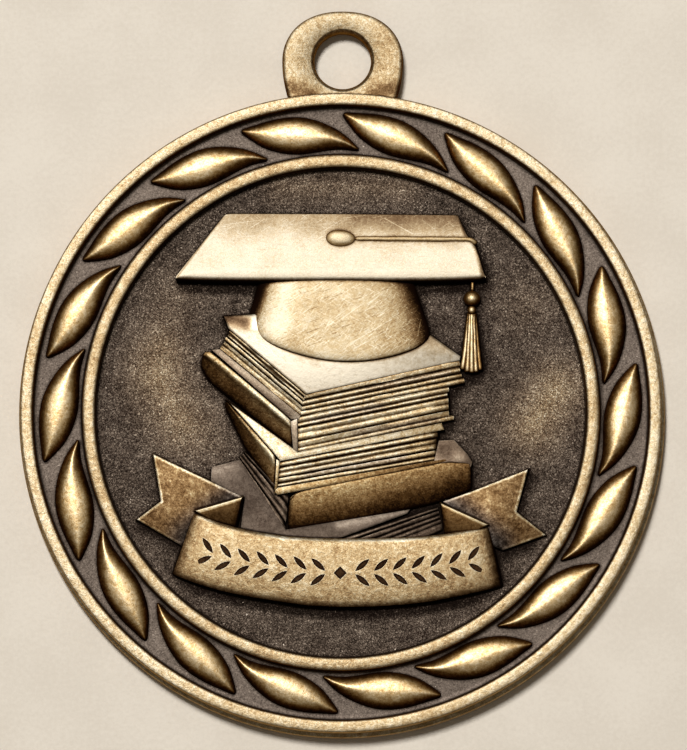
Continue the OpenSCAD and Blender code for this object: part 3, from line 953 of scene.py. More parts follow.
def strandPiece(name, route, radii, flat, floor=None):
    # a rounded bar along a route: half-round sections that stand across the run
    sections = []
    for i, place in enumerate(route):
        before, after = route[max(i - 1, 0)], route[min(i + 1, len(route) - 1)]
        run = Vector((after[0] - before[0], after[1] - before[1], 0)).normalized()
        across = Vector((run.y, -run.x, 0))
        section = []
        for k in range(strandSteps + 1):
            angle = math.pi * k / strandSteps
            side, lift = math.cos(angle) * radii[i], math.sin(angle) * radii[i] * flat
            section.append(tuple(Vector(place) + across * side + zAxis * lift))
        sections.append(footed(section, place[2] - strandDeep if floor is None else floor))
    return loftPiece(name, sections)


# the cap: board, button, cord, crown and tassel

capBoard = {
    "frontY": 10.28,
    "depth": 5.35,
    "frontZ": 2.95,
    "lip": 0.46,
    "endFrom": 11.2,
    "endDrop": 0.12,
    "lipShare": 0.45,
    "tailShare": 0.4,
    # the front lip: distance from the front, share of the lip and drop
    "lipFall": [(0, 0, 0.75), (0.02, 0, 0.52), (0, 0.13, 0.33), (0, 0.36, 0.16), (0, 0.66, 0.05), (0, 1, 0)],
    "shares": (0.14, 0.3, 0.45, 0.6, 0.75, 0.88),
    # the rounded back edge: shares of its rounding, back and down
    "tailFall": [(0.4, 0.22), (0.08, 0.65), (0, 1.3)],
}
# where across the board a section stands: x, front line, back line and how round the back edge is
boardRows = [
    (-13.12, 10.42, 10.66, 0.05), (-13.02, 10.34, 10.84, 0.06), (-12.8, 10.31, 11.13, 0.07),
    (-12.2, 10.29, 11.92, 0.08), (-11.2, 10.26, 13.22, 0.09), (-10.2, 10.24, 14.52, 0.09),
    (-9.45, 10.23, 15.48, 0.09), (-9.22, 10.23, 15.72, 0.09), (-8.8, 10.23, 15.76, 0.09),
    (-6.5, 10.22, 15.77, 0.09), (-4.0, 10.23, 15.77, 0.09), (-1.5, 10.26, 15.78, 0.09),
    (1.5, 10.27, 15.78, 0.09), (4.0, 10.26, 15.76, 0.09), (6.5, 10.28, 15.75, 0.09),
    (8.8, 10.34, 15.74, 0.09), (9.2, 10.36, 15.72, 0.1), (9.45, 10.38, 15.2, 0.12),
    (9.85, 10.4, 14.3, 0.16), (10.2, 10.41, 13.85, 0.25), (10.6, 10.42, 13.45, 0.35),
    (10.85, 10.44, 12.85, 0.42), (11.1, 10.47, 11.95, 0.42), (11.3, 10.52, 11.2, 0.35),
    (11.42, 10.58, 10.84, 0.08),
]
# how the board's top falls from its front lip to its back edge: share of the depth, drop
boardFall = [(0.0, 0.0), (0.1, 0.06), (0.25, 0.18), (0.4, 0.29), (0.55, 0.37), (0.7, 0.42), (0.85, 0.45),
             (1.0, 0.47)]
# a few long scratches across the board and the crown: turn, length, width, rarity and light
crossHatch = [
    (32, 26, 0.065, 0.66, 0.17),
    (-38, 20, 0.06, 0.68, 0.15),
    (8, 34, 0.06, 0.65, 0.13),
    (-6, 30, 0.06, 0.68, -0.09),
    (74, 22, 0.06, 0.69, 0.14),
]
crownHatch = [
    (35, 22, 0.07, 0.62, 0.2),
    (-28, 18, 0.06, 0.65, 0.18),
    (58, 16, 0.06, 0.64, 0.16),
    (20, 24, 0.06, 0.64, -0.2),
    (-50, 16, 0.06, 0.67, -0.16),
]
boardFinish = {
    "low": 2.0, "high": 2.3, "rub": 0.95, "base": 0.2, "mottled": 0.38, "gritty": 0.45, "blotchy": 0.3,
    "dents": 0.01, "gritDepth": 0.014, "scratches": crossHatch, "gloss": 0.1, "grey": 0.25,
    "patches": [
        # painted shade towards the back edge
        (-8.5, 15.8, 9.2, 15.8, 1.3, 1.6, -0.28),
        (1.5, 15.8, 9.0, 15.4, 0.9, 1.2, -0.22),
        (0.0, 13.8, 0.9, 0.9, -0.16),
        (1.5, 13.4, 9.0, 13.4, 0.1, 0.9, -0.14),
        # painted highlight along the front lip
        (-12.4, 10.8, 10.6, 10.8, 0.2, 1.2, 0.12),
        (-13.0, 10.27, 11.2, 10.33, 0.09, 0.09, -0.5),
        (-13.1, 10.5, -9.25, 15.75, 0.03, 0.12, -0.45),
        (9.3, 15.7, 9.75, 14.1, 0.06, 0.16, -0.5),
        (10.0, 14.1, 10.75, 13.3, 0.1, 0.22, -0.4),
        (10.8, 13.2, 11.38, 10.9, 0.32, 0.2, -0.44),
        (3.4, 15.4, 5.6, 14.2, 0.015, 0.05, 0.4),
    ],
}


def boardZ(y):
    share = min(max((y - capBoard["frontY"]) / capBoard["depth"], 0), 1)
    for (a, low), (b, high) in zip(boardFall, boardFall[1:]):
        if share <= b:
            return capBoard["frontZ"] - mix(low, high, (share - a) / (b - a))
    return capBoard["frontZ"] - boardFall[-1][1]


def makeBoard(finish):
    b = capBoard
    sections = []
    for x, front, back, roundness in boardRows:
        lip = min(b["lip"], (back - front) * b["lipShare"])
        tail = min(roundness, (back - front) * b["tailShare"])
        ends = 0.0 if x < b["endFrom"] else b["endDrop"]
        top = boardZ(front + lip) - ends
        section = [(x, front + out + lip * share, top - drop) for out, share, drop in b["lipFall"]]
        for y in [mix(front + lip, back - tail, share) for share in b["shares"]] + [back - tail]:
            section.append((x, y, boardZ(y) - ends))
        z = boardZ(back) - ends
        section += [(x, back - tail * share, z - tail * drop) for share, drop in b["tailFall"]]
        sections.append(footed(section))
    finished(smoothed(loftPiece("capBoard", sections), 0, 48), finish)
    print("board made")


capButton = {
    "middle": (-0.08, 13.8),
    "length": 2.36,
    "width": 1.36,
    "rise": 0.3,
    "lean": 0.03,
    "power": 2.2,
    "taper": 0.1,
    "thinnest": (0.02, 0.01),
    "shares": (-1, -0.93, -0.7, -0.35, 0.05, 0.4, 0.7, 0.92, 1.0),
    "steps": 8,
}
cordFinish = {
    "low": 2.0, "high": 2.5, "rub": 0.86, "base": 0.5, "lee": 0.0, "steepLeft": 0.6, "hollows": 0.35,
    "shade": 0.0, "gloss": 0.1, "warmth": 0.6,
    # painted highlight on the top of the button
    "patches": [(-0.5, 13.85, 0.3, 13.82, 0.3, 0.24, 0.4)],
}


def makeButton(finish):
    b = capButton
    base = boardZ(b["middle"][1])
    arc = [math.pi * k / b["steps"] for k in range(b["steps"] + 1)]
    sections = []
    for share in b["shares"]:
        x = b["middle"][0] + share * b["length"] / 2
        y = b["middle"][1] - b["lean"] * share
        swell = math.sqrt(max(1 - abs(share) ** b["power"], 0)) * (1 - b["taper"] * share)
        half = b["width"] / 2 * swell + b["thinnest"][0]
        rise = b["rise"] * math.sqrt(max(1 - share * share, 0)) + b["thinnest"][1]
        section = [(x, y - half * math.cos(angle), base + rise * math.sin(angle)) for angle in arc]
        sections.append(footed(section, base - footDeep))
    finished(smoothed(loftPiece("capButton", sections), 1, 60), finish)


capCord = {
    "start": (0.98, 13.78),
    "over": (10.0, 13.78),
    "radius": 0.21,
    "wave": 0.015,
    "steps": 22,
    "bends": [(10.28, 13.72), (10.5, 13.58), (10.66, 13.38)],
    # how deep it lies in the board, how deep the first bend does, and how much more each further one
    "sunk": 0.01,
    "bendSunk": 0.02,
    "bendFall": 0.09,
    "swell": (0.9, 1.08),
    "ends": (0.6, 1.2),
}


def makeCord(finish):
    c = capCord
    random.seed(5)
    (startX, startY), (overX, overY) = c["start"], c["over"]
    route = []
    for i in range(c["steps"] + 1):
        share = i / c["steps"]
        y = mix(startY, overY, share) + spread(c["wave"])
        route.append((mix(startX, overX, share), y, boardZ(y) - c["sunk"]))
    for k, (x, y) in enumerate(c["bends"]):
        route.append((x, y, boardZ(y) - c["bendSunk"] - c["bendFall"] * k))
    radii = [c["radius"] * random.uniform(*c["swell"]) for _ in route]
    radii[0], radii[-1] = c["radius"] * c["ends"][0], c["radius"] * c["ends"][1]
    finished(smoothed(strandPiece("capCord", route, radii, flat=0.85), 1, 60), finish)
    print("button and cord made")


crown = {
    "midZ": 2.88,
    "top": 10.9,
    "topHalf": 6.1,
    "topMiddle": -0.25,
    "footHalf": 7.3,
    "lopsided": 0.02,
    "sideFall": 0.85,
    "sidePower": 3.2,
    "lean": 0.14,
    "bow": 0.02,
    # the rolled foot: distance from the front and drop
    "footRoll": [(0, 0.3), (0.01, 0.16), (0.05, 0.09), (0.14, 0.045)],
    "shares": (0.06, 0.15, 0.3, 0.45, 0.6, 0.75, 0.9, 1.0),
    "gather": 1.35,
    "flare": 1.15,
}
crownFinish = {
    "low": 1.9, "high": 2.6, "rub": 0.785, "base": 0.05, "blotchy": 0.4, "mottled": 0.34, "gritty": 0.5,
    "dents": 0.012, "gritDepth": 0.012, "scratches": crownHatch, "gloss": 0.07, "grey": 0.1,
    "patches": [
        (-6.15, 10.6, -7.3, 7.4, 0.45, 0.4, -0.5),
        # painted highlight left of the middle
        (-4.4, 9.9, -5.2, 7.0, 0.8, 1.4, 0.2),
        # painted shade on the right side
        (6.5, 10.8, 7.4, 6.2, 1.4, 1.2, -0.6),
        (6.6, 10.8, 7.4, 6.2, 0.5, 0.6, -0.4),
        # painted shadow of the board along the top
        (2.6, 11.4, 6.2, 9.6, 0.4, 1.6, -0.26),
        (-4.0, 11.0, 4.0, 11.0, 0.5, 0.8, -0.13),
        # painted shade on the right side
        (4.4, 10.4, 5.6, 5.8, 0.6, 2.6, -0.15),
        (0.4, 5.2, 4.0, 7.4, 0.015, 0.05, 0.3),
        (1.0, 5.0, 2.8, 6.0, 0.015, 0.05, 0.3),
        (6.05, 6.1, 6.3, 7.4, 0.02, 0.05, 0.45),
    ],
}
# the foot of the crown from left to right: x and y
crownFoot = [
    (-7.3, 7.75), (-7.34, 7.35), (-7.18, 6.75), (-6.69, 6.05), (-5.95, 5.5), (-5.0, 5.05), (-3.9, 4.66),
    (-2.6, 4.31), (-1.2, 4.03), (0.3, 3.93), (1.8, 3.98), (3.2, 4.2), (4.6, 4.54), (5.7, 4.95), (6.45, 5.35),
    (6.95, 5.85), (7.16, 6.25),
]


def makeCrown(finish):
    c = crown
    sections = []
    for x, y in crownFoot:
        side = x / c["footHalf"]
        topX = c["topMiddle"] + c["topHalf"] * side * (1 - c["lopsided"] * side)
        fall = 1 - math.sqrt(max(1 - abs(side) ** c["sidePower"], 0))
        z = c["midZ"] - c["sideFall"] * fall
        section = [(x, y + out, z - drop) for out, drop in c["footRoll"]]
        start = section[-1][1]
        for share in c["shares"]:
            bow = c["bow"] * math.sin(math.pi * share) * share ** c["flare"]
            inwards = 1 - (1 - share) ** c["gather"]
            height = z - c["lean"] * share * share - bow
            section.append((mix(x, topX, inwards), mix(start, c["top"], share), height))
        sections.append(footed(section))
    finished(smoothed(loftPiece("capCrown", sections), 1, 50), finish)
    print("crown made")


tassel = {
    "z": 1.95,
    "thread": [(10.39, 10.7), (10.38, 10.1), (10.36, 9.55)],
    # middle, radius and stretch up the medal
    "balls": {"tasselBead": ((10.34, 9.08, 2.1), 0.66, 0.94), "tasselKnob": ((10.32, 8.16, 2.22), 0.34, 1.1)},
    "threadRadii": [0.19, 0.17, 0.15],
    "coreLift": 0.02,
    "strandSteps": 12,
    "sway": 0.012,
    "wave": 0.01,
    "swell": (0.94, 1.06),
    "bandAt": 0.28,
    "bandReach": 0.05,
    "bandSwell": 1.12,
    # a strand's rounded tip: distance beyond its end, drop and share of its radius
    "tip": [(0.07, 0.02, 0.8), (0.11, 0.1, 0.35)],
    "core": [(10.33, 8.1), (10.33, 7.3), (10.33, 6.5), (10.34, 5.0), (10.34, 3.5)],
    "coreRadii": [0.24, 0.36, 0.46, 0.52, 0.64],
}
# a strand: route of x, y and lift, radius at the top and at the foot
tasselStrands = [
    ([(10.12, 8.05, 0.02), (9.98, 6.6, 0.04), (9.84, 5.1, 0.04), (9.6, 3.5, 0.02)], 0.16, 0.28),
    ([(10.22, 8.1, 0.1), (10.14, 6.6, 0.16), (10.06, 5.0, 0.16), (10.0, 3.32, 0.12)], 0.18, 0.29),
    ([(10.33, 8.1, 0.14), (10.32, 6.6, 0.22), (10.33, 5.0, 0.22), (10.34, 3.26, 0.18)], 0.2, 0.31),
    ([(10.45, 8.1, 0.1), (10.52, 6.6, 0.16), (10.6, 5.0, 0.16), (10.68, 3.3, 0.12)], 0.18, 0.29),
    ([(10.55, 8.05, 0.02), (10.7, 6.6, 0.04), (10.84, 5.0, 0.04), (11.0, 3.46, 0.02)], 0.16, 0.28),
]
tasselFinish = {
    "low": 1.8, "high": 2.3, "rub": 0.94, "base": 0.25, "mottled": 0.8, "lee": 0.1, "steepLeft": 0.5,
    # the patch is painted shade down the tassel's right side
    "hollows": 0.6, "warmth": 0.9, "patches": [(10.95, 7.6, 11.2, 3.6, 0.35, 0.3, -0.35)],
}


def makeTassel(finish):
    t = tassel

    def strand(name, route, radii, flat):
        finished(smoothed(strandPiece(name, route, radii, flat, rootZ), 1, 60), finish)

    strand("tasselThread", [(x, y, t["z"]) for x, y in t["thread"]], t["threadRadii"], flat=1.3)
    for name, (middle, radius, stretch) in t["balls"].items():
        deselectAll()
        place = Vector(middle) * mm
        bpy.ops.mesh.primitive_uv_sphere_add(segments=32, ring_count=18, radius=radius * mm, location=place)
        ball = named(bpy.context.object, name)
        ball.scale = (1, stretch, 1)
        bpy.ops.object.transform_apply()
        finished(smoothed(ball, 0, 60), finish)
    strand("tasselCore", [(x, y, t["z"] + t["coreLift"]) for x, y in t["core"]], t["coreRadii"], flat=0.5)
    random.seed(3)
    for number, (points, thin, thick) in enumerate(tasselStrands, 1):
        route, radii = [], []
        for i in range(t["strandSteps"] + 1):
            share = i / t["strandSteps"]
            x, y, lift = along(points, share)
            route.append((x + spread(t["sway"]), y, t["z"] + lift + spread(t["wave"])))
            swell = t["bandSwell"] if abs(share - t["bandAt"]) < t["bandReach"] else 1
            radii.append(mix(thin, thick, share) * random.uniform(*t["swell"]) * swell)
        (x, y, z), last = route[-1], radii[-1]
        route += [(x, y - beyond, z - drop) for beyond, drop, _ in t["tip"]]
        radii += [last * share for _, _, share in t["tip"]]
        strand(f"tasselStrand{number}", route, radii, flat=1.25)
    print("tassel made")


# the books: ridged page faces, rounded spines and tilted cover plates

books = {
    "groove": 0.09,
    "rough": 0.019,
    "sway": 0.6,
    "stations": 14,
    "faceSunk": 0.1,
    "spineSunk": 0.08,
    "faceDeep": 0.4,
    "faceLean": 0.02,
    # a ridge: how deep its groove is, how high its crest, and where its two shoulders lie
    "grooveSpread": (0.7, 1.5),
    "crest": (-0.02, 0.05),
    "shoulders": ((0.12, 0.26), (0.62, 0.76)),
    "rowsPerRidge": 5,
}
bookFinishes = {
    "pages": {"low": 2.0, "high": 2.6, "rub": 0.86, "base": 0.62, "hollows": 0.6, "mottled": 0.75,
              "gritty": 0.9, "blotchy": 0.4, "grey": 0.08, "steepLeft": 0.3,
              "smoke": [(-2.4, -0.7, 3.2, 0.5, 0.12, 0.45, 0.6), (1.0, -1.7, 7.6, -0.5, 0.1, 0.4, 0.5),
                        (-2.6, -4.9, 5.0, -3.5, 0.15, 0.45, 0.6), (2.0, 1.9, 8.6, 3.2, 0.1, 0.35, 0.45)]},
    "oldPages": {"low": 1.9, "high": 2.6, "rub": 0.52, "base": 0.3, "hollows": 0.5, "mottled": 0.6,
                 "gritty": 0.6, "grey": 0.6, "steepLeft": 0.3},
    "spines": {"low": 2.1, "high": 2.85, "rub": 0.74, "base": 0.2, "mottled": 0.6, "gritty": 1.0,
               "dents": 0.03,
               # the first two patches are painted highlights along the upper edges of two spines
               "patches": [(-10.37, 4.46, -3.61, -1.2, 0.24, 0.18, 0.2),
                           (-9.12, 0.84, -5.05, -4.08, 0.24, 0.18, 0.2),
                           (-4.4, -9.4, 9.9, -6.2, 0.4, 1.2, -0.14)]},
    "white": {"low": 1.7, "high": 2.35, "rub": 1.02, "base": 0.3, "mottled": 0.45, "gritty": 0.45,
              "dents": 0.009, "gritDepth": 0.006, "grey": 0.32, "gloss": -0.04,
              # the second patch is painted shade beside the crown's left foot
              "patches": [(-9.2, 7.5, -7.7, 7.1, 0.5, 0.5, -0.75), (-7.2, 6.6, -2.0, 3.9, 0.3, 0.8, -0.2),
                          (-8.9, 6.5, -2.8, 1.4, 0.12, 0.1, -0.35),
                          # painted shade beside the crown's right side
                          (3.6, 6.6, 8.6, 5.2, 0.5, 1.1, -0.34),
                          (5.8, 4.4, 1.0, 3.4, -0.12)]},
    "ashen": {"low": 1.9, "high": 2.6, "rub": 0.64, "base": 0.35, "grey": 0.55, "mottled": 0.4,
              "patches": [(-10.3, 4.6, -4.2, -0.5, 0.3, 0.3, -0.24), (8.2, -3.0, 10.0, -3.6, 0.6, 0.4, -0.22),
                          # the first two patches are painted highlights near front corners
                          (-3.6, -0.6, 0.2, 0.4, 0.3), (-5.4, -3.0, -4.6, -3.9, 0.1, 0.5, 0.3),
                          (9.4, -3.5, 0.4, 0.7, 0.34)]},
    "dark": {"low": 1.7, "high": 2.3, "rub": 0.36, "base": 0.22, "grey": 0.7, "mottled": 0.4,
             "patches": [(-10.0, -4.6, -8.4, -4.3, 0.5, 0.9, 0.26), (-7.6, -6.8, -5.6, -9.2, 0.5, 1.0, -0.12),
                         (0.0, -8.9, 5.0, -7.9, 0.3, 0.5, 0.3)]},
}


def ridges(bounds, groove):
    # bounds are shares down the face at which the grooves lie; between two of them stands one ridge
    rows = []
    for high, low in zip(bounds, bounds[1:]):
        wide = low - high
        deep = groove * random.uniform(*books["grooveSpread"])
        crest = random.uniform(*books["crest"])
        first, second = (random.uniform(*shoulder) for shoulder in books["shoulders"])
        rows += [(high, -deep), (high + wide * first, -deep * 0.15), (high + wide * 0.45, crest),
                 (high + wide * second, crest - 0.015), (high + wide * 0.88, -deep * 0.4)]
    return rows + [(bounds[-1], -groove)]


# a face: its upper and lower lines from left to right (x, y, z), the shares down it where grooves lie, and
# how far each ridge's left or right end stands out
bookFaces = {
    "book1LeftPages": {
        "upper": [(-8.78, 6.5, 2.36), (-2.8, 1.42, 2.8)],
        "lower": [(-9.62, 4.98, 2.2), (-3.2, -0.36, 2.66)],
        "bounds": [0.0, 0.17, 0.36, 0.55, 0.74, 1.0],
        "shiftLeft": [0.0, 0.05, -0.02, 0.05, 0.0],
    },
    "book1RightPages": {
        "upper": [(-2.85, 1.5, 2.8), (9.32, 4.26, 2.34)],
        "lower": [(-3.2, -0.4, 2.68), (9.7, 2.32, 2.22)],
        "bounds": [0.0, 0.3, 0.56, 0.76, 1.0],
        "shiftRight": [0.0, -0.08, -0.03, 0.1],
    },
    "book2RightPages": {
        "upper": [(-3.42, -0.42, 2.86), (8.52, 2.1, 2.36)],
        "lower": [(-3.4, -3.26, 2.66), (8.7, -0.62, 2.2)],
        "bounds": [0.0, 0.17, 0.31, 0.49, 0.68, 0.86, 1.0],
        "shiftRight": [0.0, -0.16, -0.1, -0.12, -0.12, 0.25],
    },
    "book3RightPages": {
        "upper": [(-4.78, -3.95, 2.76), (8.05, -1.38, 2.32)],
        "lower": [(-5.08, -6.5, 2.62), (8.45, -4.12, 2.2)],
        "bounds": [0.0, 0.19, 0.35, 0.52, 0.68, 0.84, 1.0],
        "shiftRight": [-0.45, -0.6, -0.66, -0.6, -0.35, 0.0],
    },
    "book4LeftPages": {
        "finish": "oldPages",
        "upper": [(-7.5, -3.1, 2.12), (-4.12, -6.6, 2.42)],
        "lower": [(-8.28, -3.85, 2.02), (-4.42, -9.75, 2.36)],
        "bounds": [0.0, 0.24, 0.47, 0.7, 1.0],
    },
    "book5RightPages": {
        "finish": "oldPages",
        "upper": [(-1.2, -10.45, 2.45), (7.66, -7.42, 2.08)],
        "lower": [(1.6, -12.2, 2.35), (8.1, -9.3, 1.98)],
        "bounds": [0.0, 0.16, 0.34, 0.52, 0.7, 1.0],
    },
}


def makeFace(name, finish):
    face = bookFaces[name]
    b, count = books, books["stations"]
    rows = ridges(face["bounds"], b["groove"])
    run = Vector(face["upper"][1]) - Vector(face["upper"][0])
    run.z = 0
    run.normalize()
    shifts = {0: face.get("shiftLeft"), count: face.get("shiftRight")}
    sections = []
    for i in range(count + 1):
        upper, lower = Vector(along(face["upper"], i / count)), Vector(along(face["lower"], i / count))
        section = [lower - zAxis * b["faceDeep"]]
        for k, (down, lift) in reversed(list(enumerate(rows))):
            place = upper.lerp(lower, down)
            if shifts.get(i):
                place += run * shifts[i][min(k // b["rowsPerRidge"], len(face["bounds"]) - 2)]
            shake = spread(1) * b["rough"]
            sunk = b["faceSunk"] if i in shifts else 0
            section.append((place.x, place.y + shake * b["sway"], place.z + lift + shake - sunk))
        section.append((upper.x, upper.y + b["faceLean"], upper.z - b["faceDeep"]))
        sections.append(footed([(x, y, max(z, rootZ)) for x, y, z in section]))
    finished(smoothed(loftPiece(name, sections), 0, 50), finish)


# a spine: upper and lower lines as above, and how its rounding falls from the upper edge down
bookSpines = {
    "book2Spine": {
        "upper": [(-10.95, 4.55, 2.3), (-10.78, 4.78, 2.42), (-10.35, 4.8, 2.52), (-7.1, 2.06, 2.7),
                  (-3.62, -0.86, 2.9)],
        "lower": [(-11.1, 4.0, 2.0), (-11.12, 3.45, 2.0), (-10.5, 2.35, 2.02), (-7.0, -0.5, 2.16),
                  (-3.58, -3.34, 2.36)],
        "fall": [(0.0, -0.05), (0.04, 0.0), (0.1, 0.05), (0.16, 0.09), (0.22, 0.1), (0.28, 0.07),
                 (0.36, 0.01), (0.45, -0.02), (0.7, -0.04), (0.9, -0.08), (1.0, -0.24)],
    },
    "book3Spine": {
        "upper": [(-9.1, 0.92, 2.22), (-7.3, -0.95, 2.45), (-5.02, -3.62, 2.84)],
        "lower": [(-9.25, 0.42, 1.95), (-7.62, -2.85, 2.04), (-5.18, -6.5, 2.36)],
        "fall": [(0.0, -0.05), (0.04, 0.0), (0.1, 0.05), (0.16, 0.08), (0.22, 0.085), (0.3, 0.05),
                 (0.4, 0.01), (0.55, 0.0), (0.8, -0.03), (0.93, -0.08), (1.0, -0.2)],
    },
    "book4Spine": {
        "upper": [(-4.18, -6.45, 2.62), (-0.04, -5.55, 2.66), (8.34, -3.86, 2.52), (10.05, -3.95, 2.42),
                  (10.36, -4.08, 2.34)],
        "lower": [(-4.44, -9.72, 2.24), (-0.03, -8.92, 2.26), (7.6, -7.2, 2.16), (9.9, -6.35, 2.1),
                  (10.44, -6.0, 2.05)],
        "fall": [(0.0, -0.06), (0.03, 0.0), (0.12, 0.03), (0.35, 0.05), (0.6, 0.02), (0.85, -0.06),
                 (0.96, -0.13), (1.0, -0.25)],
    },
}


def makeSpine(name, finish):
    spine = bookSpines[name]
    b, count = books, books["stations"]
    sections = []
    for i in range(count + 1):
        upper, lower = Vector(along(spine["upper"], i / count)), Vector(along(spine["lower"], i / count))
        sunk = b["spineSunk"] if i in (0, count) else 0
        section = []
        for down, lift in reversed(spine["fall"]):
            x, y, z = upper.lerp(lower, down)
            section.append((x, y, max(z + lift + spread(1) * b["rough"] - sunk, rootZ)))
        sections.append(footed(section))
    finished(smoothed(loftPiece(name, sections), 1, 50), finish)


# the flats of the books
bookPlates = {
    "book1Cover": {
        "outline": [(-9.42, 7.66), (-8.95, 6.55), (-2.78, 1.33), (9.44, 4.12), (9.5, 4.52), (6.9, 6.35),
                    (0, 9.0), (-7.1, 7.78)],
        "corner": (-2.67, 1.74, 2.9), "tilt": (-0.018, -0.115), "edge": 0.2, "finish": "white",
    },
    "book2Cover": {
        "outline": [(-10.3, 4.9), (-9.6, 4.95), (-3.2, -0.3), (-3.3, -0.62), (-3.95, -0.62)],
        "corner": (-3.5, -0.5, 2.8), "tilt": (0.04, -0.02), "edge": 0.05, "finish": "ashen",
    },
    "book2Corner": {
        "outline": [(-3.98, -0.78), (-3.42, -0.52), (-3.38, -3.3), (-3.74, -3.3)],
        "corner": (-3.5, -0.6, 2.88), "tilt": (0.02, 0.06), "edge": 0.06, "finish": "ashen",
    },
    "book3Cover": {
        "outline": [(-9.16, 1.02), (-4.98, -3.7), (-4.8, -3.98), (8.25, -1.38), (8.0, -0.75), (-3.4, -3.15)],
        "corner": (-4.9, -3.7, 2.88), "tilt": (-0.025, -0.1), "edge": 0.14, "finish": "pages",
    },
    "book3Corner": {
        "outline": [(-5.1, -3.75), (-4.8, -3.95), (-5.02, -6.5), (-5.24, -6.5)],
        "corner": (-4.9, -3.7, 2.86), "tilt": (0.0, 0.075), "edge": 0.05, "finish": "spines",
    },
    "book3Base": {
        "outline": [(-5.24, -6.3), (-5.0, -6.02), (8.3, -3.62), (8.56, -3.86), (8.46, -4.12), (-5.0, -6.62)],
        "corner": (-4.9, -6.2, 2.76), "tilt": (-0.035, 0.02), "edge": 0.1, "finish": "spines",
    },
    "book4Cover": {
        "outline": [(7.2, -4.6), (7.75, -2.2), (8.95, -2.12), (10.05, -3.3), (10.42, -3.92), (10.3, -4.3)],
        "corner": (10.3, -3.9, 2.35), "tilt": (0.0, -0.07), "edge": 0.06, "finish": "ashen",
    },
    "book5Cover": {
        "outline": [(-10.22, -4.35), (-8.0, -3.75), (-4.3, -9.3), (5.6, -7.6), (5.3, -8.0), (-1.4, -10.5),
                    (-5.2, -10.2), (-7.9, -9.25), (-7.6, -6.88), (-10.3, -5.6)],
        "corner": (-1.4, -10.3, 2.42), "tilt": (-0.02, -0.075), "edge": 0.1, "finish": "dark",
    },
}


# the banner: a curved front band with an engraved sprig, two folds and two swallow tails

# the band from left to right: top edge x and y, bottom edge x and y, height
bandRows = [
    (-11.58, -7.95, -13.3, -12.82, 2.1), (-11.52, -7.9, -13.22, -12.9, 2.3),
    (-11.3, -7.98, -12.95, -13.05, 2.46), (-10.8, -8.26, -12.3, -13.32, 2.58),
    (-9.8, -8.74, -11.0, -13.78, 2.7), (-8.4, -9.15, -9.4, -14.24, 2.78), (-6.6, -9.54, -7.5, -14.64, 2.84),
    (-4.5, -9.83, -5.2, -15.0, 2.88), (-2.2, -9.99, -2.6, -15.36, 2.9), (0.0, -10.03, 0.0, -15.48, 2.9),
    (2.4, -10.0, 2.7, -15.42, 2.9), (4.6, -9.92, 5.1, -15.26, 2.88), (6.6, -9.82, 7.2, -15.0, 2.84),
    (8.4, -9.6, 9.2, -14.6, 2.78), (10.0, -9.31, 10.9, -14.22, 2.7), (11.1, -9.08, 12.1, -13.92, 2.58),
    (11.55, -8.95, 12.62, -13.8, 2.42), (11.74, -8.9, 12.84, -13.74, 2.22),
    (11.82, -8.95, 12.92, -13.72, 2.05),
]
bandFinish = {
    "low": 1.9, "high": 2.75, "rub": 0.7, "base": 0.22, "mottled": 0.7, "gritty": 0.8, "dents": 0.03,
    "lee": 0.2, "grey": 0.1,
    "patches": [
        (-9.6, -13.9, -2.0, -15.3, 0.8, 0.8, -0.06), (-2.0, -15.3, 9.6, -14.4, 0.8, 0.8, -0.06),
        # painted highlight along the upper edge, and painted shade on the rounded right end
        (-11.2, -8.35, -4.5, -10.0, 0.16, 0.12, 0.35), (-4.5, -10.0, 5.0, -10.1, 0.16, 0.12, 0.35),
        (5.0, -10.1, 11.5, -9.15, 0.16, 0.12, 0.3), (11.4, -9.4, 12.4, -13.4, 0.2, 0.6, -0.16),
    ],
}
tailFinish = {
    "low": 1.7, "high": 2.4, "rub": 0.485, "base": 0.2, "mottled": 0.95, "gritty": 0.9, "blotchy": 0.6,
    "dents": 0.03, "grey": 0.08,
    "smoke": [
        (8.6, -7.7, 12.2, -10.4, 1.1, 1.3, 0.85), (-8.6, -7.2, -12.0, -10.0, 1.1, 1.4, 0.85),
    ],
    "patches": [
        # rubbed edges with painted highlights along them
        (8.2, -7.05, 14.7, -4.56, 0.14, 0.1, 0.42), (14.7, -4.55, 13.85, -7.75, 0.12, 0.1, 0.3),
        (13.9, -7.88, 16.2, -9.65, 0.12, 0.1, 0.4), (16.1, -9.65, 12.9, -10.75, 0.12, 0.1, 0.25),
        (-14.8, -3.45, -8.0, -6.68, 0.14, 0.1, 0.42), (-14.82, -3.5, -14.15, -7.1, 0.14, 0.1, 0.42),
        (-14.15, -7.15, -16.0, -8.55, 0.12, 0.1, 0.4), (-16.0, -8.6, -12.8, -10.4, 0.12, 0.1, 0.3),
    ],
}
foldFinish = {
    "low": 1.7, "high": 2.4, "rub": 0.37, "base": 0.2, "mottled": 0.5, "gritty": 0.6,
    # painted highlights on the upper edges
    "patches": [(-11.5, -7.98, -7.8, -6.85, 0.17, 0.1, 0.5), (8.0, -7.25, 11.7, -8.95, 0.16, 0.1, 0.45),
                # painted shadow along the inner edges
                (-7.8, -7.2, -8.4, -9.3, 0.1, 0.5, -0.4), (8.0, -7.7, 8.4, -9.6, 0.1, 0.5, -0.4)],
}
fillFinish = {"low": 2.6, "high": 3.4, "rub": 0.2, "base": 0.08, "lee": 0.0, "grey": 0.2}
# the band's rounding from the lower edge to the upper one: share up the band, lift
bandFall = [(0.0, -0.62), (0.0, -0.44), (0.012, -0.3), (0.04, -0.2), (0.09, -0.14), (0.18, -0.085),
            (0.34, -0.03), (0.5, 0.0), (0.66, 0.0), (0.8, -0.01), (0.91, -0.03), (0.95, -0.06),
            (0.985, -0.15), (1.0, -0.24), (1.0, -0.4)]

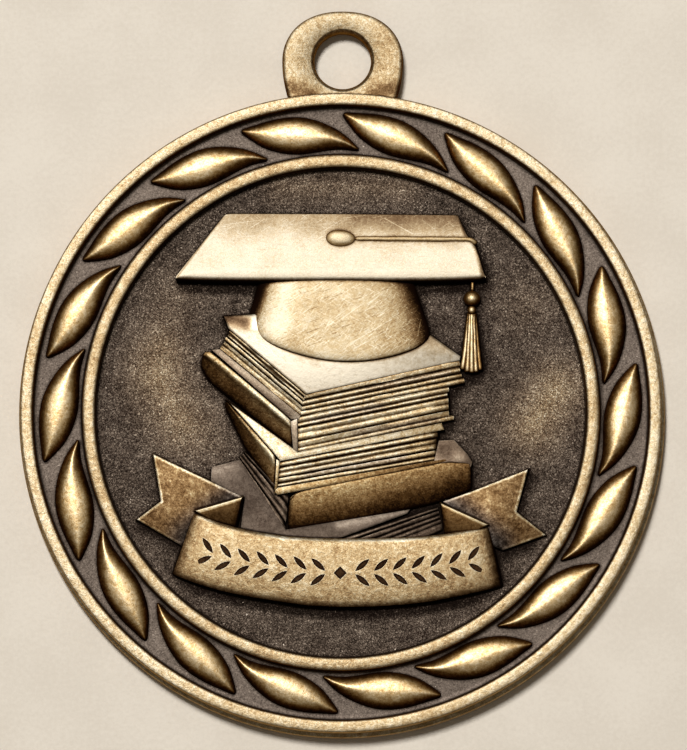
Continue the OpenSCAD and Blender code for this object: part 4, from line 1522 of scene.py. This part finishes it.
sprig = {
    "pairs": 7,
    "reach": 0.4,
    "width": 26.0,
    "leaflet": 1.5,
    "lean": 40,
    "start": 0.3,
    "gap": 0.12,
    "depth": 0.12,
    "lozenge": 0.75,
    "roundness": 0.9,
    "steps": 6,
    # how high a cutter stands above the bottom of its cut
    "cutter": 0.6,
}


def bandAt(share):
    # middle line, run and height of the band at a share of its width
    x = share * sprig["width"]
    rows = [((r[0] + r[2]) / 2, (r[1] + r[3]) / 2, r[4]) for r in bandRows]
    for a, b in zip(rows, rows[1:]):
        if x <= b[0]:
            t = (x - a[0]) / (b[0] - a[0])
            run = math.degrees(math.atan2(b[1] - a[1], b[0] - a[0]))
            return x, mix(a[1], b[1], t), mix(a[2], b[2], t), run
    return x, rows[-1][1], rows[-1][2], 0


def leafletOutline():
    s = sprig
    steps = s["steps"]
    half = s["leaflet"] / 2
    radius = s["leaflet"] * s["roundness"]
    sink = math.sqrt(radius * radius - half * half)
    swing = math.degrees(math.asin(half / radius))
    upper = [(half + radius * math.sin(math.radians(a)), -sink + radius * math.cos(math.radians(a)))
             for a in [-swing + 2 * swing * i / steps for i in range(steps + 1)]]
    return upper + [(x, -y) for x, y in reversed(upper[1:-1])]


def cutterPiece(outline, place, angle):
    # an upright prism that reaches the engraving's depth below a place
    x, y, z = place
    points = [turned(px, py, angle) for px, py in outline]
    points = inMetres([(x + px, y + py, z - sprig["depth"]) for px, py in points])
    cutter = prismPiece("sprigCutter", points, sprig["cutter"] * mm)
    editEnd()
    return cutter


def makeBand(finish, filling):
    s = sprig
    sections = []
    lowest = fieldZ + 0.1
    for topX, topY, lowX, lowY, z in bandRows:
        section = []
        for share, lift in bandFall:
            section.append((mix(lowX, topX, share), mix(lowY, topY, share), max(z + lift, lowest)))
        sections.append(footed(section))
    band = loftPiece("bannerBand", sections)
    half = s["lozenge"] / math.sqrt(2)
    cutters = [cutterPiece([(half, 0), (0, half), (-half, 0), (0, -half)], bandAt(0.0)[:3], 0)]
    for side in (-1, 1):
        for k in range(1, s["pairs"] + 1):
            x, y, z, run = bandAt(side * s["reach"] * (k - s["start"]) / s["pairs"])
            for lean in (-s["lean"], s["lean"]):
                angle = run + (0 if side > 0 else 180) + lean
                gapX, gapY = turned(s["leaflet"] * s["gap"], 0, angle)
                cutters.append(cutterPiece(leafletOutline(), (x + gapX, y + gapY, z), angle))
    pick(cutters[0])
    for cutter in cutters:
        cutter.select_set(True)
    bpy.ops.object.join()
    tool = bpy.context.object
    for piece in (band, tool):
        piece.data.materials.append(finish)
        piece.data.materials.append(filling)
    for side in tool.data.polygons:
        side.material_index = 1
    pick(band)
    engraving = band.modifiers.new("engraving", "BOOLEAN")
    engraving.operation = "DIFFERENCE"
    engraving.solver = "EXACT"
    engraving.object = tool
    bpy.ops.object.modifier_apply(modifier=engraving.name)
    bpy.data.objects.remove(tool)
    placed(smoothed(band, 0, 28))
    print("band engraved:", len(band.data.polygons), "faces")


bannerPlates = {
    "tailLeft": {
        "outline": [(-14.92, -3.28), (-7.68, -6.7), (-9.0, -9.0), (-12.3, -10.9), (-12.72, -10.56),
                    (-16.2, -8.58), (-14.24, -7.09)],
        "corner": (-10.5, -6.5, 2.3), "tilt": (0.012, 0.02), "edge": 0.17, "finish": "tail",
    },
    "tailRight": {
        "outline": [(7.95, -7.02), (10.35, -6.2), (14.92, -4.33), (13.98, -7.81), (16.36, -9.66),
                    (12.86, -10.9), (12.1, -10.6), (10.0, -8.6)],
        "corner": (10.5, -7.5, 2.3), "tilt": (-0.012, 0.02), "edge": 0.17, "finish": "tail",
    },
    "foldLeft": {
        "outline": [(-11.6, -7.86), (-7.66, -6.7), (-8.2, -9.3), (-10.5, -8.6)],
        "corner": (-11.5, -7.9, 2.62), "tilt": (-0.035, 0.2), "edge": 0.18, "finish": "fold",
    },
    "foldRight": {
        "outline": [(7.84, -7.1), (11.8, -8.86), (10.5, -9.6), (8.25, -9.9)],
        "corner": (11.7, -8.9, 2.62), "tilt": (0.03, 0.2), "edge": 0.18, "finish": "fold",
    },
}


setStage()
makeBlank(blankBronze())
makeWreath(antiqueBronze("leafBronze", leafFinish))
makeLoop(antiqueBronze("loopBronze", loopFinish))
makeBoard(antiqueBronze("boardBronze", boardFinish))
cordBronze = antiqueBronze("cordBronze", cordFinish)
makeButton(cordBronze)
makeCord(cordBronze)
makeCrown(antiqueBronze("crownBronze", crownFinish))
makeTassel(antiqueBronze("tasselBronze", tasselFinish))
bookBronzes = {key: antiqueBronze(key + "Bronze", finish) for key, finish in bookFinishes.items()}
random.seed(21)
for name in bookFaces:
    makeFace(name, bookBronzes[bookFaces[name].get("finish", "pages")])
for name in bookSpines:
    makeSpine(name, bookBronzes["spines"])
makePlates(bookPlates, bookBronzes)
print("books made")
makeBand(antiqueBronze("bandBronze", bandFinish), antiqueBronze("engravedBronze", fillFinish))
makePlates(bannerPlates, {
    "tail": antiqueBronze("tailBronze", tailFinish),
    "fold": antiqueBronze("foldBronze", foldFinish),
})
print("banner made")
